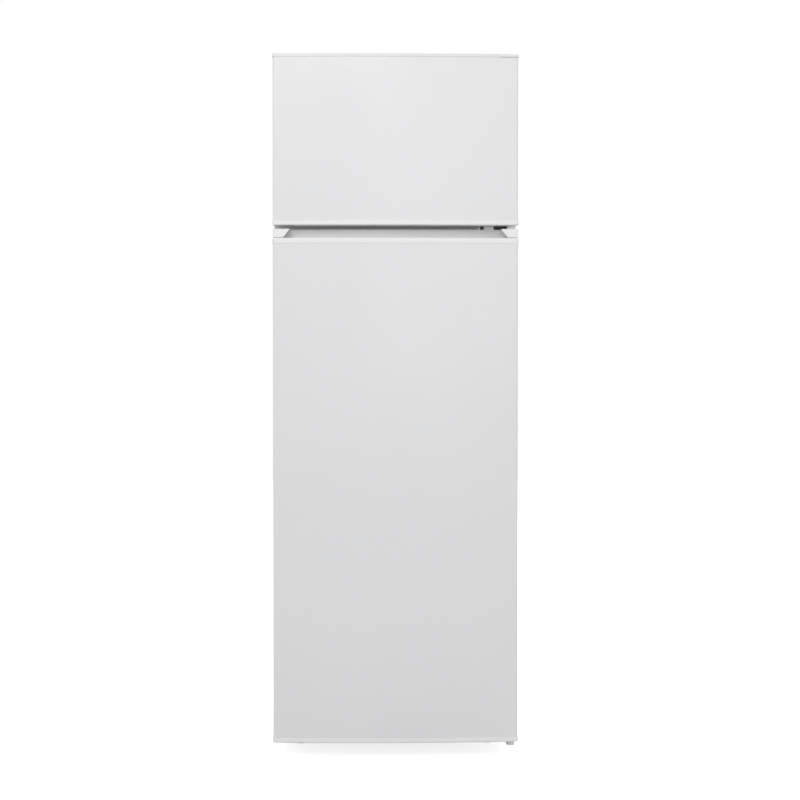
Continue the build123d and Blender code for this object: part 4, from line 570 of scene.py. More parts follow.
@dataclass(frozen=True)
class SheetMetal(Finish):
    """Bare or plated metal, with crystals of zinc or drawn streaks."""

    crystals: float = 120.0
    streak: float = 1.0
    marks: float = 0.12
    mark_depth: float = 0.1 * MM

    def dress(self, shader: Shader) -> None:
        """Adds the crystal or streak pattern to the colour and the relief.

        Args:
            shader: Shader to add it to.
        """
        place = shader.add("TexCoord")
        stretch = shader.add("Mapping", Vector=place.outputs["Object"],
                             Scale=(1.0, 1.0, self.streak))
        cells = shader.add("TexVoronoi", Vector=stretch.outputs["Vector"], Scale=self.crystals)
        grey = shader.add("SeparateColor", Color=cells.outputs["Color"])
        shader.relief(grey.outputs["Red"], self.marks, self.mark_depth)
        drift = shader.surface.inputs["Base Color"].links[0].from_socket
        marked = shader.mixed(self.marks * 2, drift, cells.outputs["Color"], "MULTIPLY")
        plain = shader.add("HueSaturation", Color=marked, Saturation=0.15, Value=1.15)
        shader.set(Metallic=1.0, Base_Color=plain.outputs["Color"])


@dataclass(frozen=True)
class Clear(Moulding):
    """Glass or clear plastic that light passes through, with a faint wave."""

    grain: float = 0.02
    ior: float = 1.5
    cover: float = 1.0

    def dress(self, shader: Shader) -> None:
        """Adds the wave and lets light through, a thin wall's share of it straight on."""
        super().dress(shader)
        shader.set(Transmission_Weight=1.0, IOR=self.ior, Alpha=self.cover)


DOOR_WHITE = Enamel("door_white", (0.818, 0.822, 0.832), (0.803, 0.807, 0.817), (0.31, 0.37))
CABINET_WHITE = Enamel("cabinet_white", (0.8, 0.8, 0.8), (0.78, 0.78, 0.78), (0.34, 0.42), peel=0.2)
CAP_WHITE = Moulding("cap_white", (0.9, 0.9, 0.905), (0.88, 0.88, 0.885), (0.3, 0.38))
LINER_WHITE = Moulding("liner_white", (0.885, 0.89, 0.888), (0.876, 0.881, 0.879), (0.27, 0.31), grain=0.02)
FITTING_WHITE = Moulding("fitting_white", (0.82, 0.825, 0.83), (0.8, 0.805, 0.81), (0.3, 0.4))
SEAL_GREY = Moulding("seal_grey", (0.66, 0.66, 0.66), (0.6, 0.6, 0.6), (0.5, 0.62),
                     grain=0.2, specular=0.3)
FOAM_CREAM = Moulding("foam_cream", (0.82, 0.78, 0.64), (0.77, 0.72, 0.57), (0.8, 0.95), 40.0, grain=0.6)
GALVANISED = SheetMetal("galvanised", (0.6, 0.61, 0.63), (0.48, 0.49, 0.51), (0.34, 0.52), crystals=140.0)
ZINC_STEEL = SheetMetal("zinc_steel", (0.66, 0.66, 0.65), (0.55, 0.55, 0.54), (0.28, 0.42),
                        crystals=900.0, marks=0.06)
SCREW_STEEL = SheetMetal("screw_steel", (0.2, 0.2, 0.21), (0.13, 0.13, 0.14), (0.32, 0.48), crystals=900.0)
BLACK_ENAMEL = Enamel("black_enamel", (0.022, 0.022, 0.024), (0.034, 0.034, 0.036), (0.3, 0.48), peel=0.25)
BLACK_PLASTIC = Moulding("black_plastic", (0.03, 0.03, 0.032), (0.042, 0.042, 0.044), (0.45, 0.62),
                         grain=0.3)
BLACK_RUBBER = Moulding("black_rubber", (0.018, 0.018, 0.019), (0.028, 0.028, 0.029), (0.62, 0.8),
                        grain=0.3, specular=0.3)
COPPER = SheetMetal("copper", (0.74, 0.42, 0.27), (0.56, 0.29, 0.18), (0.24, 0.42),
                    crystals=300.0, streak=0.05)
PLATE_ALUMINIUM = SheetMetal("plate_aluminium", (0.74, 0.75, 0.76), (0.66, 0.67, 0.68), (0.3, 0.44),
                             crystals=500.0)
KNOB_GREY = Moulding("knob_grey", (0.55, 0.57, 0.59), (0.51, 0.53, 0.55), (0.36, 0.46), grain=0.2)
MARK_GREY = Moulding("mark_grey", (0.16, 0.17, 0.18), (0.2, 0.21, 0.22), (0.5, 0.6))
WIRE_WHITE = Enamel("wire_white", (0.83, 0.83, 0.83), (0.81, 0.81, 0.81), (0.35, 0.45), 20.0)
LENS_WHITE = Moulding("lens_white", (0.86, 0.86, 0.83), (0.82, 0.82, 0.79), (0.3, 0.4), grain=0.25)
SHELF_GLASS = Clear("shelf_glass", (0.86, 0.95, 0.93), (0.84, 0.94, 0.92), (0.02, 0.05), cover=0.7)
BIN_CLEAR = Clear("bin_clear", (0.975, 0.985, 0.992), (0.965, 0.978, 0.986), (0.05, 0.1),
                  ior=1.45, grain=0.05, cover=0.68)
BULB_GLASS = Clear("bulb_glass", (0.97, 0.96, 0.92), (0.95, 0.94, 0.9), (0.2, 0.3))

WEARS: dict[Finish, str] = {
    DOOR_WHITE: "freezer_door_skin fridge_door_skin",
    CABINET_WHITE: "left_side_panel right_side_panel top_sheet mullion_rail bottom_hinge",
    WIRE_WHITE: "freezer_shelf",
    CAP_WHITE: "freezer_door_bottom_cap middle_hinge_cap fridge_door_bottom_cap fridge_door_grip_cap "
               "top_panel corner_covers",
    LINER_WHITE: "freezer_liner fridge_liner freezer_door_liner fridge_door_liner",
    FITTING_WHITE: "freezer_door_top_cap freezer_door_hinge_cover thermostat_housing door_switch "
                   "shelf_trims",
    SEAL_GREY: "freezer_door_gasket fridge_door_gasket",
    FOAM_CREAM: "cabinet_foam freezer_door_foam fridge_door_foam",
    GALVANISED: "back_panel base_pan carrier_rail",
    ZINC_STEEL: "top_hinge middle_hinge",
    SCREW_STEEL: "hinge_screws",
    BLACK_ENAMEL: "compressor condenser_tube condenser_wires",
    BLACK_PLASTIC: "relay_box wall_spacers left_foot right_foot left_roller right_roller drip_tray",
    BLACK_RUBBER: "rubber_mounts",
    COPPER: "return_pipes",
    PLATE_ALUMINIUM: "evaporator_plates",
    KNOB_GREY: "thermostat_knob switch_plunger",
    LENS_WHITE: "lamp_lens",
    SHELF_GLASS: "glass_shelf_1 glass_shelf_2 glass_shelf_3 crisper_cover",
    BIN_CLEAR: "bottle_bin door_bin_1 door_bin_2 freezer_bin crisper_drawer",
    BULB_GLASS: "lamp",
}


def dress_nodes() -> None:
    """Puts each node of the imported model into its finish."""
    for finish, names in WEARS.items():
        for name in names.split():
            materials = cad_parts[name].data.materials
            materials.clear()
            materials.append(finish.material())
            LOG.info("%s wears %s", name, finish.name)


# Sub-assemblies


@dataclass
class DoorSeal:
    """Magnetic seal of one door: a foot in the inner panel, a bellows and a head that meets the cabinet."""

    name: str
    node: str
    body: Body
    drawn_depth: float = 11.7
    profile: Pairs = (
        (6.0, 0.2), (13.0, 0.2), (13.0, 3.6), (11.2, 4.2), (11.2, 4.9), (13.6, 5.6), (13.6, 6.2),
        (11.8, 6.9), (16.2, 7.2), (16.9, 7.9), (16.9, 10.9), (16.2, 11.6), (12.0, 11.6), (11.2, 10.9),
        (7.4, 10.9), (6.6, 11.6), (1.0, 11.6), (0.2, 10.9), (0.2, 7.9), (0.9, 7.2), (6.2, 6.9), (4.6, 6.2),
        (4.6, 5.6), (7.2, 4.9), (7.2, 4.2), (6.0, 3.6))

    def build(self) -> None:
        """Carries the profile round a rectangle with mitred corners.

        The profile is (inset, depth) in millimetres from the seal's outer edge and its door side, with the
        depth fitted to the node's. The point for a corner with signs (sx, sz) is
        (cx + sx (hx - inset), y0 + depth, cz + sz (hz - inset)).
        """
        low, high = box_of(self.node)
        middle, half = (low + high) / 2, (high - low) / 2
        inset, depth = np.array(self.profile).T
        signs = np.array([(-1, -1), (1, -1), (1, 1), (-1, 1)], float)
        grid = grid_of(middle[0] + signs[:, :1] * (half[0] - inset),
                       low[1] + depth * (high[1] - low[1]) / self.drawn_depth,
                       middle[2] + signs[:, 1:] * (half[2] - inset))
        piece = Shell.from_grid(grid, loop=True).placed(self.name, "seal", SEAL_GREY, self.body)
        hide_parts(self.node)


@dataclass
class PanelStrip:
    """Strip that closes the gap between the freezer door's inner panel and its top cap."""

    span: Pair = (-257.0, 220.5)
    fit: float = 0.2
    sunk: float = 0.5
    proud: float = 1.2
    ease: float = 0.8
    groove: float = 1.5
    groove_floor: float = 1.0

    def build(self) -> None:
        """Carries a flat section with a groove and eased edges along the door."""
        low = box_of("freezer_door_liner")[1][2] + self.fit
        high = box_of("freezer_door_hinge_cover")[0][2] - self.fit
        seat = box_of("freezer_door_skin")[1][1] - self.sunk
        face, middle = seat + self.proud, (low + high) / 2
        deep = face - self.ease / 2
        section = np.array([
            (seat, low), (face - self.ease, low), (face, low + self.ease), (face, middle - self.groove),
            (deep, middle - self.groove_floor), (deep, middle + self.groove_floor),
            (face, middle + self.groove), (face, high - self.ease), (face - self.ease, high), (seat, high)])
        strip = Shell.from_grid(grid_of(np.array(self.span)[:, None], *section.T))
        strip.placed("freezer_panel_strip", "white_cap", CAP_WHITE, Body.FREEZER_DOOR)


@dataclass
class HingeScrews:
    """Pan-head screws that hold the three hinges and the left foot's plate."""

    top_seats: Pairs = ((208.0, -202.0), (208.0, -178.0), (247.0, -178.0))
    flange_seats: Pairs = ((193.0, 0.0), (223.0, 0.0), (238.0, -7.0))
    foot_seats: Pairs = ((-24.0, -22.0), (-24.0, 22.0), (24.0, 22.0))
    foot_x: float = 213.0
    foot_y: float = -102.0
    nut: float = 7.0
    head: float = 4.6
    height: float = 2.6
    shank: float = 2.2
    plate: float = 3.0
    rings: int = 16
    steps: int = 48
    crown: float = 0.45
    recess: float = 0.55
    slot: float = 0.16
    slot_flank: float = 0.06
    reach: float = 0.66
    reach_flank: float = 0.12
    turns: Pair = (0.2, 5.9)

    def screw(self, at: Point, way: Way, turn: float) -> Shell:
        """Makes one screw with a cross recess.

        Over the polar grid (s, a), with s the share of the head's radius, the head's height is
        h (1 - crown s^4 - recess d). With x and y in the turned frame, the dip d is
        clamp((slot - min(|x|, |y|)) / slot_flank, 0, 1) clamp((reach - s) / reach_flank, 0, 1).

        Args:
            at: Middle of the head's seat on the plate.
            way: Direction that the head faces.
            turn: Angle that the recess has stopped at, in radians.

        Returns:
            The head and its shank as one surface.
        """
        share = np.linspace(0.02, 1.0, self.rings)[:, None]
        angle = round_angles(self.steps) + turn
        x, y = share * np.cos(angle), share * np.sin(angle)
        blade = np.clip((self.slot - np.minimum(np.abs(x), np.abs(y))) / self.slot_flank, 0, 1)
        dip = blade * np.clip((self.reach - share) / self.reach_flank, 0, 1)
        rise = self.height * (1.0 - self.crown * share ** 4 - self.recess * dip)
        shank = np.array([[(self.head, 0.0)], [(self.shank, 0.0)], [(self.shank, -self.plate)]])
        shank = np.repeat(shank, self.steps, axis=1)
        return turned(np.concatenate([grid_of(self.head * share, rise), shank]), at, way, self.steps)

    def build(self) -> None:
        """Places the twelve screws on their plates."""
        low, high = box_of("middle_hinge")
        top, face = box_of("top_hinge")[1][2], high[1] - self.plate
        middle = (low[2] + high[2]) / 2
        under = box_of("bottom_hinge")[0][2] + self.nut
        seats = [((x, y, top), Way.UP) for x, y in self.top_seats]
        seats += [((x, face, middle + z), Way.FRONT) for x, z in self.flange_seats]
        seats += [((side * (self.foot_x + x), self.foot_y + y, under), Way.DOWN)
                  for side in (-1, 1) for x, y in self.foot_seats]
        turns = np.linspace(*self.turns, len(seats))
        screws = [self.screw(at, way, turn) for (at, way), turn in zip(seats, turns)]
        piece = Shell.joined(screws).placed("pan_head_screws", "dark_screws", SCREW_STEEL)
        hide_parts("hinge_screws")


@dataclass
class HingeStopAndShade:
    """Black stop that is moulded round the gusset of the middle hinge; its black is partly painted shade,
    darkening the gap beside the hinge arm.
    """

    span: Pair = (226.0, 246.6)
    middle_y: float = -232.0
    depth: float = 8.4
    rise: float = 3.3
    ribs: int = 3
    dip: float = 0.08
    rows: int = 31
    sides: int = 28

    def build(self) -> None:
        """Carries a squared oval along x, its size dipping at each end of every rib.

        At share s along the stop and angle t the point is (x, y0 + k d c, z0 + k r e) with k equal to
        1 - dip (1 + cos(2 pi n s)), and c and e the signed roots of cos(t) and sin(t).
        """
        low, high = box_of("middle_hinge")
        share = np.linspace(0, 1, self.rows)[:, None]
        angle = round_angles(self.sides)[None, :]
        size = 1.0 - self.dip * (1.0 + np.cos(2 * np.pi * self.ribs * share))
        wave = np.array([np.cos(angle), np.sin(angle)])
        root_c, root_e = np.sign(wave) * np.sqrt(np.abs(wave))
        start, end = self.span
        grid = grid_of(start + share * (end - start), self.middle_y + size * self.depth * root_c,
                       (low[2] + high[2]) / 2 + size * self.rise * root_e)
        # The stop's black plastic also serves as painted shade in the gap beside the hinge arm.
        Shell.from_grid(grid).placed("hinge_stop_and_shade", "black_plastic", BLACK_PLASTIC)


@dataclass
class CompressorMounts:
    """Four ribbed rubber mounts under the compressor's plate."""

    radius: float = 10.0
    wave: float = 0.9
    neck: float = 6.6
    neck_height: float = 4.0
    ribs: int = 3
    rows: int = 40

    def build(self) -> None:
        """Turns a wavy profile at each corner of the rubber mounts' box.

        The radius at height share s is R - wave (1 + cos(2 pi n s)) / 2 over the lower part, and the neck's
        radius above it.
        """
        low, high = box_of("rubber_mounts")
        tall = high[2] - low[2]
        share = np.linspace(0, 1, self.rows)
        body = self.radius - self.wave * (1.0 + np.cos(2 * np.pi * self.ribs * share)) / 2
        profile = np.column_stack([body, (tall - self.neck_height) * share])
        profile = np.concatenate([profile, [[self.neck, profile[-1, 1]], [self.neck, tall]]])
        spots = [(x, y, low[2]) for x in (low[0] + self.radius, high[0] - self.radius)
                 for y in (low[1] + self.radius, high[1] - self.radius)]
        mounts = Shell.joined([turned(profile, spot) for spot in spots])
        piece = mounts.placed("ribbed_mounts", "black_rubber", BLACK_RUBBER)
        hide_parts("rubber_mounts")


@dataclass
class CoolingCircuit:
    """Pipes at the back: the condenser's serpentine, the drier, the capillary and the return pipe."""

    half: float = 215.0
    plane: float = 270.0
    first: float = 332.0
    pitch: float = 908.0 / 12
    passes: int = 13
    bend: float = 26.48
    tube: float = 2.5
    crossing: float = 200.0
    drier: Spot = (-240.0, 212.0, 86.0)
    drier_length: float = 76.0
    drier_profile: Pairs = (
        (1.6, -5.0), (2.0, 0.0), (3.0, 3.5), (6.6, 8.0), (8.0, 11.0), (8.0, 20.0), (7.5, 21.0), (7.5, 23.0),
        (8.0, 24.0), (8.0, 63.0), (6.8, 67.5), (3.6, 72.0), (3.2, 76.0))
    capillary: float = 1.5
    capillary_bend: float = 8.0
    capillary_lap: float = 3.0
    capillary_drop: float = 16.0
    capillary_side: float = 26.0
    capillary_top: float = 231.2
    suction: float = 3.5
    suction_bend: float = 12.0
    stub: float = 3.0
    stub_bend: float = 6.0
    stub_tip: float = 1.0
    stub_point: float = 12.0

    def serpentine(self) -> None:
        """Bends the condenser's tube to and fro, pass n at height first + n pitch, each way in turn."""
        number = np.arange(self.passes)
        side = np.where(number % 2 == 0, self.half, -self.half)
        level = self.first + self.pitch * number
        passes = grid_of(np.stack([side, -side], axis=-1), self.plane, level[:, None])
        x, y, z = self.drier
        passes[-1, -1, 0] = x
        enter = [(48, 210, 87), (215, 210, 87), (215, 270, 87)]
        leave = [(x, self.plane, self.crossing), (x, y, self.crossing), (x, y, z + self.drier_length)]
        run = rounded_run(np.concatenate([enter, passes.reshape(-1, 3), leave]), self.bend, 9)
        piece = tube(run, self.tube, 14).placed("condenser_serpentine", "black_enamel", BLACK_ENAMEL)
        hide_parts("condenser_tube")

    def copper(self) -> None:
        """Makes the drier's capsule, the thin capillary under it and the thicker return pipe."""
        x, y, z = self.drier
        low, beside = z - self.capillary_drop, x + self.capillary_side
        top = z - self.capillary_lap
        thin = [(x, y, top), (x, y, low), (beside, y, low), (beside, y, self.capillary_top)]
        thick = [(130, 150, 248), (130, 150, 129), (130, 180, 129), (58, 180, 129)]
        parts = [turned(np.array(self.drier_profile), self.drier),
                 tube(rounded_run(thin, self.capillary_bend), self.capillary, 10),
                 tube(rounded_run(thick, self.suction_bend, 9), self.suction, 16)]
        piece = Shell.joined(parts).placed("copper_lines", "copper", COPPER)
        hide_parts("return_pipes")

    def filling_stub(self) -> None:
        """Adds the compressor's pinched filling tube, its radius easing from the stub's to the tip's."""
        run = rounded_run([(10, 236, 128), (10, 247, 128), (10, 247, 160)], self.stub_bend)
        tip = np.linspace(run[-1], run[-1] + (0, 0, self.stub_point), 8)[1:]
        size = np.concatenate([np.full(len(run), self.stub), np.linspace(self.stub, self.stub_tip, len(tip))])
        collar = np.array([(3.0, 0.0), (5.2, 0.4), (5.6, 1.6), (5.2, 2.8), (3.0, 3.2)])
        parts = [tube(np.concatenate([run, tip]), size, 14), turned(collar, (10, 240, 128), Way.BACK, 20)]
        Shell.joined(parts).placed("filling_stub", "copper", COPPER)

    def build(self) -> None:
        """Makes all the pipes."""
        self.serpentine()
        self.copper()
        self.filling_stub()


@dataclass
class MachineBay:
    """Fixings round the compressor and on the cabinet's back."""

    mount_x: Pair = (-104.0, 64.0)
    mount_y: Pair = (147.0, 225.0)
    plate_top: float = 48.0
    bolt: float = 4.6
    clip: float = 1.3
    clip_bend: float = 3.0
    flange_x: float = 260.0
    back_y: float = 252.0
    back_levels: tuple[float, ...] = (120.0, 330.0, 560.0, 790.0, 1020.0, 1250.0, 1480.0)
    back_screw: float = 3.2
    bead_x: tuple[float, ...] = (-118.0, 0.0, 118.0)
    bead_half: float = 15.0
    bead_rise: float = 2.2
    bead_below: float = 110.0
    bead_above: float = 90.0
    bead_sheet: float = 0.5
    bead_sunk: float = 0.05
    bead_spread: float = 1.3

    def heads(self, name: str, spots: Sequence[Point], way: Way, size: float) -> None:
        """Places hexagon heads on turned washers, both scaled by the head's radius.

        Args:
            name: Name of the piece.
            spots: Seat of each washer.
            way: Direction that the heads face.
            size: Radius of a head.
        """
        head = np.array([(1.0, 0.45), (1.0, 1.1), (0.86, 1.3), (0.3, 1.32)]) * size
        washer = np.array([(1.5, 0.0), (1.62, 0.12), (1.62, 0.34), (1.5, 0.46), (0.9, 0.46)]) * size
        parts = [turned(profile, at, way, sides)
                 for at in spots for profile, sides in ((head, 6), (washer, 28))]
        Shell.joined(parts).placed(name, "zinc_steel", ZINC_STEEL)

    def bolts(self) -> None:
        """Bolts the compressor's plate down on its four mounts."""
        spots = [(x, y, self.plate_top) for x in self.mount_x for y in self.mount_y]
        self.heads("mount_bolts", spots, Way.UP, self.bolt)

    def relay_clip(self) -> None:
        """Springs a wire bail round the relay box."""
        run = [(-101, 217.7, 104), (-149.7, 217.7, 104), (-149.7, 154.3, 104), (-101, 154.3, 104)]
        tube(rounded_run(run, self.clip_bend), self.clip, 12).placed("relay_clip", "zinc_steel", ZINC_STEEL)

    def back_screws(self) -> None:
        """Drives self-tapping screws along both edges of the back."""
        spots = [(side * self.flange_x, self.back_y, level)
                 for side in (-1, 1) for level in self.back_levels]
        self.heads("back_screws", spots, Way.BACK, self.back_screw)

    def back_beads(self) -> None:
        """Presses long stiffening beads into the back sheet.

        With d the distance from a bead's centre line, the sheet's rise is h s^2 (3 - 2 s) for
        s = clamp(spread (1 - d / w), 0, 1).
        """
        near, far = box_of("back_panel")
        low, high = near[2] + self.bead_below, far[2] - self.bead_above
        across = np.linspace(-1, 1, 25)[None, :] * self.bead_half
        ends = np.linspace(-1.0, 0.0, 12)[:, None] * self.bead_half
        along = np.concatenate([low + ends, np.linspace(low, high, 20)[1:-1, None], high - ends[::-1]])
        past = np.maximum(np.maximum(low - along, along - high), 0.0)
        share = np.clip(self.bead_spread * (1.0 - np.hypot(across, past) / self.bead_half), 0, 1)
        rise = self.bead_rise * share ** 2 * (3.0 - 2.0 * share)
        back = (0.0, -self.bead_sheet, 0.0)
        strips = [Shell.relief(grid_of(x + across, far[1] - self.bead_sunk + rise, along), back)
                  for x in self.bead_x]
        Shell.joined(strips).placed("back_beads", "galvanised", GALVANISED)

    def build(self) -> None:
        """Adds every fixing."""
        self.bolts()
        self.relay_clip()
        self.back_screws()
        self.back_beads()


@dataclass
class FridgeRoom:
    """Finer pieces inside the fridge room."""

    digits: str = "012345"
    digit_size: float = 4.59
    digit_rise: float = 0.1
    dial_radius: float = 19.3
    start: float = np.radians(225.0)
    sweep: float = np.radians(-270.0)
    crescent: float = 16.0
    crescent_least: float = 0.25
    crescent_growth: float = 1.3
    mark_depths: Pair = (-0.12, 0.1)
    prisms: int = 12
    prism_rise: float = 0.8
    prism_sheet: float = 0.6
    lens_rim: float = 5.0
    lens_sunk: float = 0.05
    thread: float = 6.6
    thread_wave: float = 0.4
    thread_length: float = 18.0
    thread_pitch: float = 3.0
    glass_neck: Pairs = ((6.0, 17.0), (6.4, 18.5), (8.0, 22.0), (9.4, 27.0), (10.0, 33.0))
    glass: float = 10.0
    dome_at: float = 51.0
    dome: float = 10.8
    drain_at: Spot = (0.0, 172.0, 268.0)
    rib_span: Pair = (520.0, 1060.0)
    rib_half: float = 162.0
    rib_rise: float = 1.6
    rib_waves: int = 8
    wall_y: float = 204.05
    wall_sheet: float = 0.6

    def dial(self) -> None:
        """Prints the dial: digits, and a crescent whose width grows with the setting.

        The crescent's section at share t runs from radius r to r + least + growth t, at start + t sweep.
        """
        low, high = box_of("thermostat_knob")
        centre = (low + high) / 2
        face = box_of("thermostat_housing")[0][1]
        share = np.linspace(0, 1, 72)[:, None]
        angle = self.start + share * self.sweep
        inner = self.crescent + 0.0 * share
        outer = inner + self.crescent_least + self.crescent_growth * share
        radius = np.concatenate([inner, outer, outer, inner], axis=1)
        depth = np.repeat(self.mark_depths, 2)[None, :]
        grid = grid_of(centre[0] + radius * np.cos(angle), face + depth, centre[2] + radius * np.sin(angle))
        parts = [Shell.from_grid(grid)]
        turns = self.start + self.sweep * np.linspace(0, 1, len(self.digits))
        for digit, turn in zip(self.digits, turns):
            beside, above = self.dial_radius * np.cos(turn), self.dial_radius * np.sin(turn)
            parts.append(self.glyph(digit, (centre[0] + beside, face, centre[2] + above)))
        Shell.joined(parts).placed("dial_marks", "liner_plastic", MARK_GREY)

    def glyph(self, text: str, at: Point) -> Shell:
        """Makes one raised character that faces the front.

        Args:
            text: The character.
            at: Middle of the character, on the face that carries it.

        Returns:
            The character as a closed surface.
        """
        curve = bpy.data.curves.new("glyph", "FONT")
        curve.body = text
        curve.size = self.digit_size * MM
        curve.extrude = self.digit_rise * MM
        curve.align_x = curve.align_y = "CENTER"
        carrier = bpy.data.objects.new("glyph", curve)
        mesh = bpy.data.meshes.new_from_object(carrier)
        flat = np.empty(len(mesh.vertices) * 3)
        mesh.vertices.foreach_get("co", flat)
        x, y, z = flat.reshape(-1, 3).T / MM
        faces = tuple(np.array(face.vertices) for face in mesh.polygons)
        bpy.data.objects.remove(carrier)
        bpy.data.curves.remove(curve)
        bpy.data.meshes.remove(mesh)
        return Shell(np.column_stack([x, -z, y]) + np.asarray(at), np.empty((0, 4), int), faces)

    def lens_prisms(self) -> None:
        """Ribs the lamp's lens: its underside drops by the rise times |sin|, fading in the last eighth."""
        low, high = box_of("lamp_lens")
        low_x, low_y = low[:2] + self.lens_rim
        wide, deep = high[:2] - low[:2] - 2 * self.lens_rim
        u = np.linspace(0, 1, 145)[:, None]
        v = np.linspace(0, 1, 9)[None, :]
        fade = np.clip(8 * np.minimum(v, 1 - v), 0, 1)
        drop = self.prism_rise * np.abs(np.sin(self.prisms * np.pi * u)) * fade
        grid = grid_of(low_x + u * wide, low_y + v * deep, low[2] + self.lens_sunk - drop)
        lens = Shell.relief(grid, (0.0, 0.0, self.prism_sheet))
        lens.placed("lens_prisms", "lens_plastic", LENS_WHITE)

    def bulb(self) -> None:
        """Makes the lamp: a pear-shaped glass on a threaded cap.

        The cap's radius is thread + wave cos(2 pi h / pitch), and the glass ends in half an ellipse.
        """
        low, high = box_of("lamp")
        centre = (low + high) / 2
        base = (low[0], centre[1], centre[2])
        height = np.linspace(0.0, self.thread_length, 46)
        wave = self.thread_wave * np.cos(2 * np.pi * height / self.thread_pitch)
        cap = np.column_stack([self.thread + wave, height])
        turned(cap, base, Way.RIGHT).placed("lamp_cap", "lamp_glass", ZINC_STEEL)
        angle = np.linspace(0.0, np.pi / 2, 14)[:-1]
        tip = np.column_stack([self.glass * np.cos(angle), self.dome_at + self.dome * np.sin(angle)])
        glass = np.concatenate([self.glass_neck, tip])
        piece = turned(glass, base, Way.RIGHT).placed("lamp_bulb", "lamp_glass", BULB_GLASS)
        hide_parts("lamp")

    def drain(self) -> None:
        """Sets a funnel ring into the drain of the liner's step."""
        profile = np.array([(7.3, -2.5), (7.3, 0.0), (8.5, 0.5), (12.5, 1.5), (14.2, 1.5), (15.0, 0.9),
                            (15.2, -0.1), (12.0, -0.1), (8.6, -2.5)])
        ring = turned(profile, self.drain_at, steps=40, loop=True)
        ring.placed("drain_ring", "liner_plastic", FITTING_WHITE)

    def wall_ribs(self) -> None:
        """Ribs the cold back wall so that drops run down it.

        At share u across, from -1 to 1, the wall stands out by the rise times (0.5 + 0.5 cos(2 pi n u))^3,
        fading over 1/25 of the height and 1/20 of the half width at the edges.
        """
        u = np.linspace(-1, 1, 241)[None, :]
        edge = np.linspace(0.0, 0.04, 7)
        v = np.concatenate([edge, np.linspace(0.06, 0.94, 12), 1 - edge[::-1]])[:, None]
        fade = np.clip(25 * np.minimum(v, 1 - v), 0, 1) * np.clip(20 * (1 - np.abs(u)), 0, 1)
        rise = self.rib_rise * (0.5 + 0.5 * np.cos(2 * np.pi * self.rib_waves * u)) ** 3 * fade
        low, high = self.rib_span
        grid = grid_of(self.rib_half * u, self.wall_y - rise, low + (high - low) * v)
        ribs = Shell.relief(grid, (0.0, self.wall_sheet, 0.0))
        ribs.placed("wall_ribs", "liner_plastic", LINER_WHITE)

    def build(self) -> None:
        """Adds every piece of the room."""
        self.dial()
        self.lens_prisms()
        self.bulb()
        self.drain()
        self.wall_ribs()


@dataclass
class FreezerRoom:
    """Wire shelf of the freezer, with round coated wires."""

    bearer: float = 2.5
    bearer_inset: float = 6.0
    rod: float = 1.8
    rod_inset: float = 12.0
    rods: int = 17
    dome_start: float = 0.06
    dome_rows: int = 6

    def wire(self, start: Point, end: Point, radius: float) -> Shell:
        """Draws one wire with domed ends, its radius at share s of a dome r sqrt(1 - (1 - s)^2).

        Args:
            start: Tip of one dome.
            end: Tip of the other.
            radius: Radius between the domes.

        Returns:
            The closed wire.
        """
        start, end = np.asarray(start, float), np.asarray(end, float)
        share = np.linspace(self.dome_start, 1.0, self.dome_rows)
        dome = radius * np.sqrt(1.0 - (1.0 - share) ** 2)
        way = (end - start) / np.linalg.norm(end - start)
        reach = np.outer(radius * share, way)
        path = np.concatenate([start + reach, (end - reach)[::-1]])
        return tube(path, np.concatenate([dome, dome[::-1]]), 10)

    def build(self) -> None:
        """Lays the rods across the bearers, at the heights of the node's six-sided wires."""
        low, high = box_of("freezer_shelf")
        bearer_z = low[2] + self.bearer * np.cos(np.pi / 6)
        rod_z = high[2] - self.rod * np.cos(np.pi / 6)
        lines = (low[1] + self.bearer_inset, (low[1] + high[1]) / 2, high[1] - self.bearer_inset)
        places = np.linspace(low[0] + self.rod_inset, high[0] - self.rod_inset, self.rods)
        parts = [self.wire((low[0], y, bearer_z), (high[0], y, bearer_z), self.bearer) for y in lines]
        parts += [self.wire((x, low[1], rod_z), (x, high[1], rod_z), self.rod) for x in places]
        piece = Shell.joined(parts).placed("coated_wire_shelf", "coated_wire", WIRE_WHITE)
        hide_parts("freezer_shelf")


@dataclass
class BinRails:
    """Guard rails along the front rims of the door bins."""

    bins: tuple[tuple[str, Body], ...] = (
        ("bottle_bin", Body.FRIDGE_DOOR), ("door_bin_1", Body.FRIDGE_DOOR), ("door_bin_2", Body.FRIDGE_DOOR),
        ("freezer_bin", Body.FREEZER_DOOR))
    corner: float = 21.0
    radius: float = 2.0
    inset: float = 1.1
    back: float = 30.0

    def build(self) -> None:
        """Carries a round rail along the rim, round the bin's two front corners."""
        for name, body in self.bins:
            low, high = box_of(name)
            left, right = low[0] + self.inset, high[0] - self.inset
            front, top = high[1] - self.inset, high[2]
            run = rounded_run([(left, front - self.back, top), (left, front, top), (right, front, top),
                               (right, front - self.back, top)], self.corner, 10)
            tube(run, self.radius, 14).placed(name + "_rail", "clear_plastic", FITTING_WHITE, body)


# Stage


def facing(at: Point, aim: Point) -> Euler:
    """Gives the turn that points a lamp or a camera from one place to another."""
    return (Vector(aim) - Vector(at)).to_track_quat("-Z", "Y").to_euler()


@dataclass(frozen=True)
class Lamp:
    """A square soft box: where it hangs, what it faces, its side, its power and if gloss mirrors it."""

    name: str
    at: Spot
    aim: Spot
    side: float
    watts: float
    mirrored: bool = True

    def hang(self) -> None:
        """Adds the lamp to the scene, out of the camera's sight."""
        light = bpy.data.lights.new(self.name, "AREA")
        light.size = self.side
        light.energy = self.watts
        lamp = linked(self.name, light)
        lamp.location = self.at
        lamp.rotation_euler = facing(self.at, self.aim)
        lamp.visible_camera = False
        lamp.visible_glossy = self.mirrored


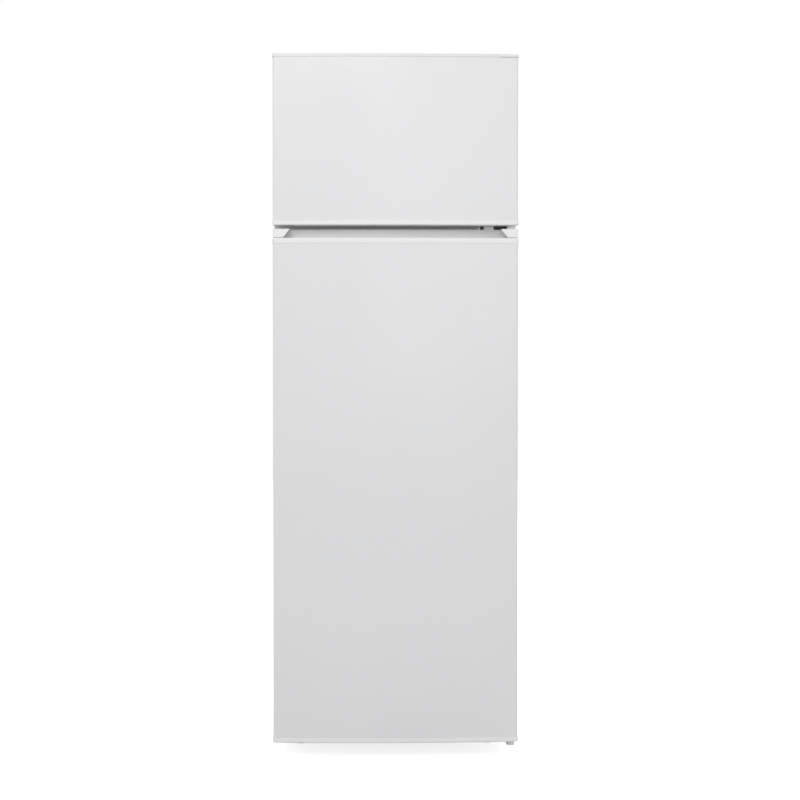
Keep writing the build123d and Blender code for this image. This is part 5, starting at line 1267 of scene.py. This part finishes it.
@dataclass
class Stage:
    """Floor, lamps, world and camera of a plain studio."""

    floor_side: float = 14.0
    floor_lines: int = 9
    floor_scale: float = 2.0
    floor_drop: float = 0.2 * MM
    floor_tones: tuple[Colour, Colour] = ((0.72, 0.72, 0.72), (0.71, 0.71, 0.71))
    floor_glow: float = 0.82
    ambient: float = 0.61
    lamps: tuple[Lamp, ...] = (
        Lamp("key_lamp", (-0.9, -4.0, 3.1), (0.0, -0.29, 1.2), 2.0, 46.5),
        Lamp("fill_lamp", (0.6, -4.6, 1.5), (0.0, -0.29, 1.0), 1.6, 10.0),
        Lamp("top_lamp", (0.0, -1.7, 3.0), (0.0, -0.29, 1.4), 1.2, 3.0),
        Lamp("back_lamp", (1.6, 3.6, 2.8), (0.0, 0.25, 0.8), 2.6, 45.0, mirrored=False))
    eye: Spot = (-0.075, -4.285, 0.953)
    aim: Spot = (0.0095, -0.29, 0.879)
    lens: float = 82.2
    sensor: float = 36.0
    shift: Pair = (0.0, -0.0492)

    def build(self) -> None:
        """Sets up the whole stage."""
        self.floor()
        self.world()
        for lamp in self.lamps:
            lamp.hang()
        self.camera()

    def floor(self) -> None:
        """Lays a flat floor sheet as a grid, just below the feet."""
        line = np.linspace(-self.floor_side / 2, self.floor_side / 2, self.floor_lines)
        points = grid_of(line[:, None], line[None, :], -self.floor_drop)
        faces = quads_of(np.arange(line.size ** 2).reshape(line.size, -1))
        mesh = bpy.data.meshes.new("floor")
        mesh.from_pydata(points.reshape(-1, 3).tolist(), [], faces.tolist())
        mesh.materials.append(self.floor_material())
        floor = linked("floor", mesh)

    def floor_material(self) -> bpy.types.Material:
        """Makes a pale floor that reads as white to the camera but keeps the object's shadow.

        Returns:
            The floor's material.
        """
        shader = Shader("studio_floor")
        path = shader.add("LightPath")
        shader.set(Base_Color=shader.drift(*self.floor_tones, self.floor_scale), Roughness=0.9,
                   Specular_IOR_Level=0.1, Emission_Color=(1.0, 1.0, 1.0, 1.0),
                   Emission_Strength=shader.maths("MULTIPLY", path.outputs["Is Camera Ray"], self.floor_glow))
        return shader.material

    def world(self) -> None:
        """Makes the world white to the camera, in gloss and through glass, and softer as a light."""
        world = bpy.data.worlds.new("studio")
        world.use_nodes = True
        graph = Graph(world.node_tree)
        path = graph.add("LightPath").outputs
        seen = graph.maths("MAXIMUM", path["Is Camera Ray"], path["Is Glossy Ray"])
        seen = graph.maths("MAXIMUM", seen, path["Is Transmission Ray"])
        strength = graph.add("MapRange", Value=seen, To_Min=self.ambient, To_Max=1.0)
        graph.feed(graph.tree.nodes["Background"], Color=(1.0, 1.0, 1.0, 1.0),
                   Strength=strength.outputs["Result"])
        bpy.context.scene.world = world

    def camera(self) -> None:
        """Stands the camera in front of the doors, at the height of their middle."""
        lens = bpy.data.cameras.new("front_camera")
        lens.lens = self.lens
        lens.sensor_width = self.sensor
        lens.shift_x, lens.shift_y = self.shift
        camera = linked("front_camera", lens)
        camera.location = self.eye
        camera.rotation_euler = facing(self.eye, self.aim)
        bpy.context.scene.camera = camera


def main() -> None:
    """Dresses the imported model, adds the finer pieces and sets the stage."""
    logging.basicConfig(level=logging.INFO, format="%(name)s: %(message)s")
    bpy.context.scene.view_settings.view_transform = "Standard"
    dress_nodes()
    for assembly in (
            DoorSeal("freezer_seal", "freezer_door_gasket", Body.FREEZER_DOOR),
            DoorSeal("fridge_seal", "fridge_door_gasket", Body.FRIDGE_DOOR),
            PanelStrip(), HingeScrews(), HingeStopAndShade(), CompressorMounts(), CoolingCircuit(), MachineBay(),
            FridgeRoom(), FreezerRoom(), BinRails(), Stage()):
        assembly.build()


if __name__ == "__main__":
    main()
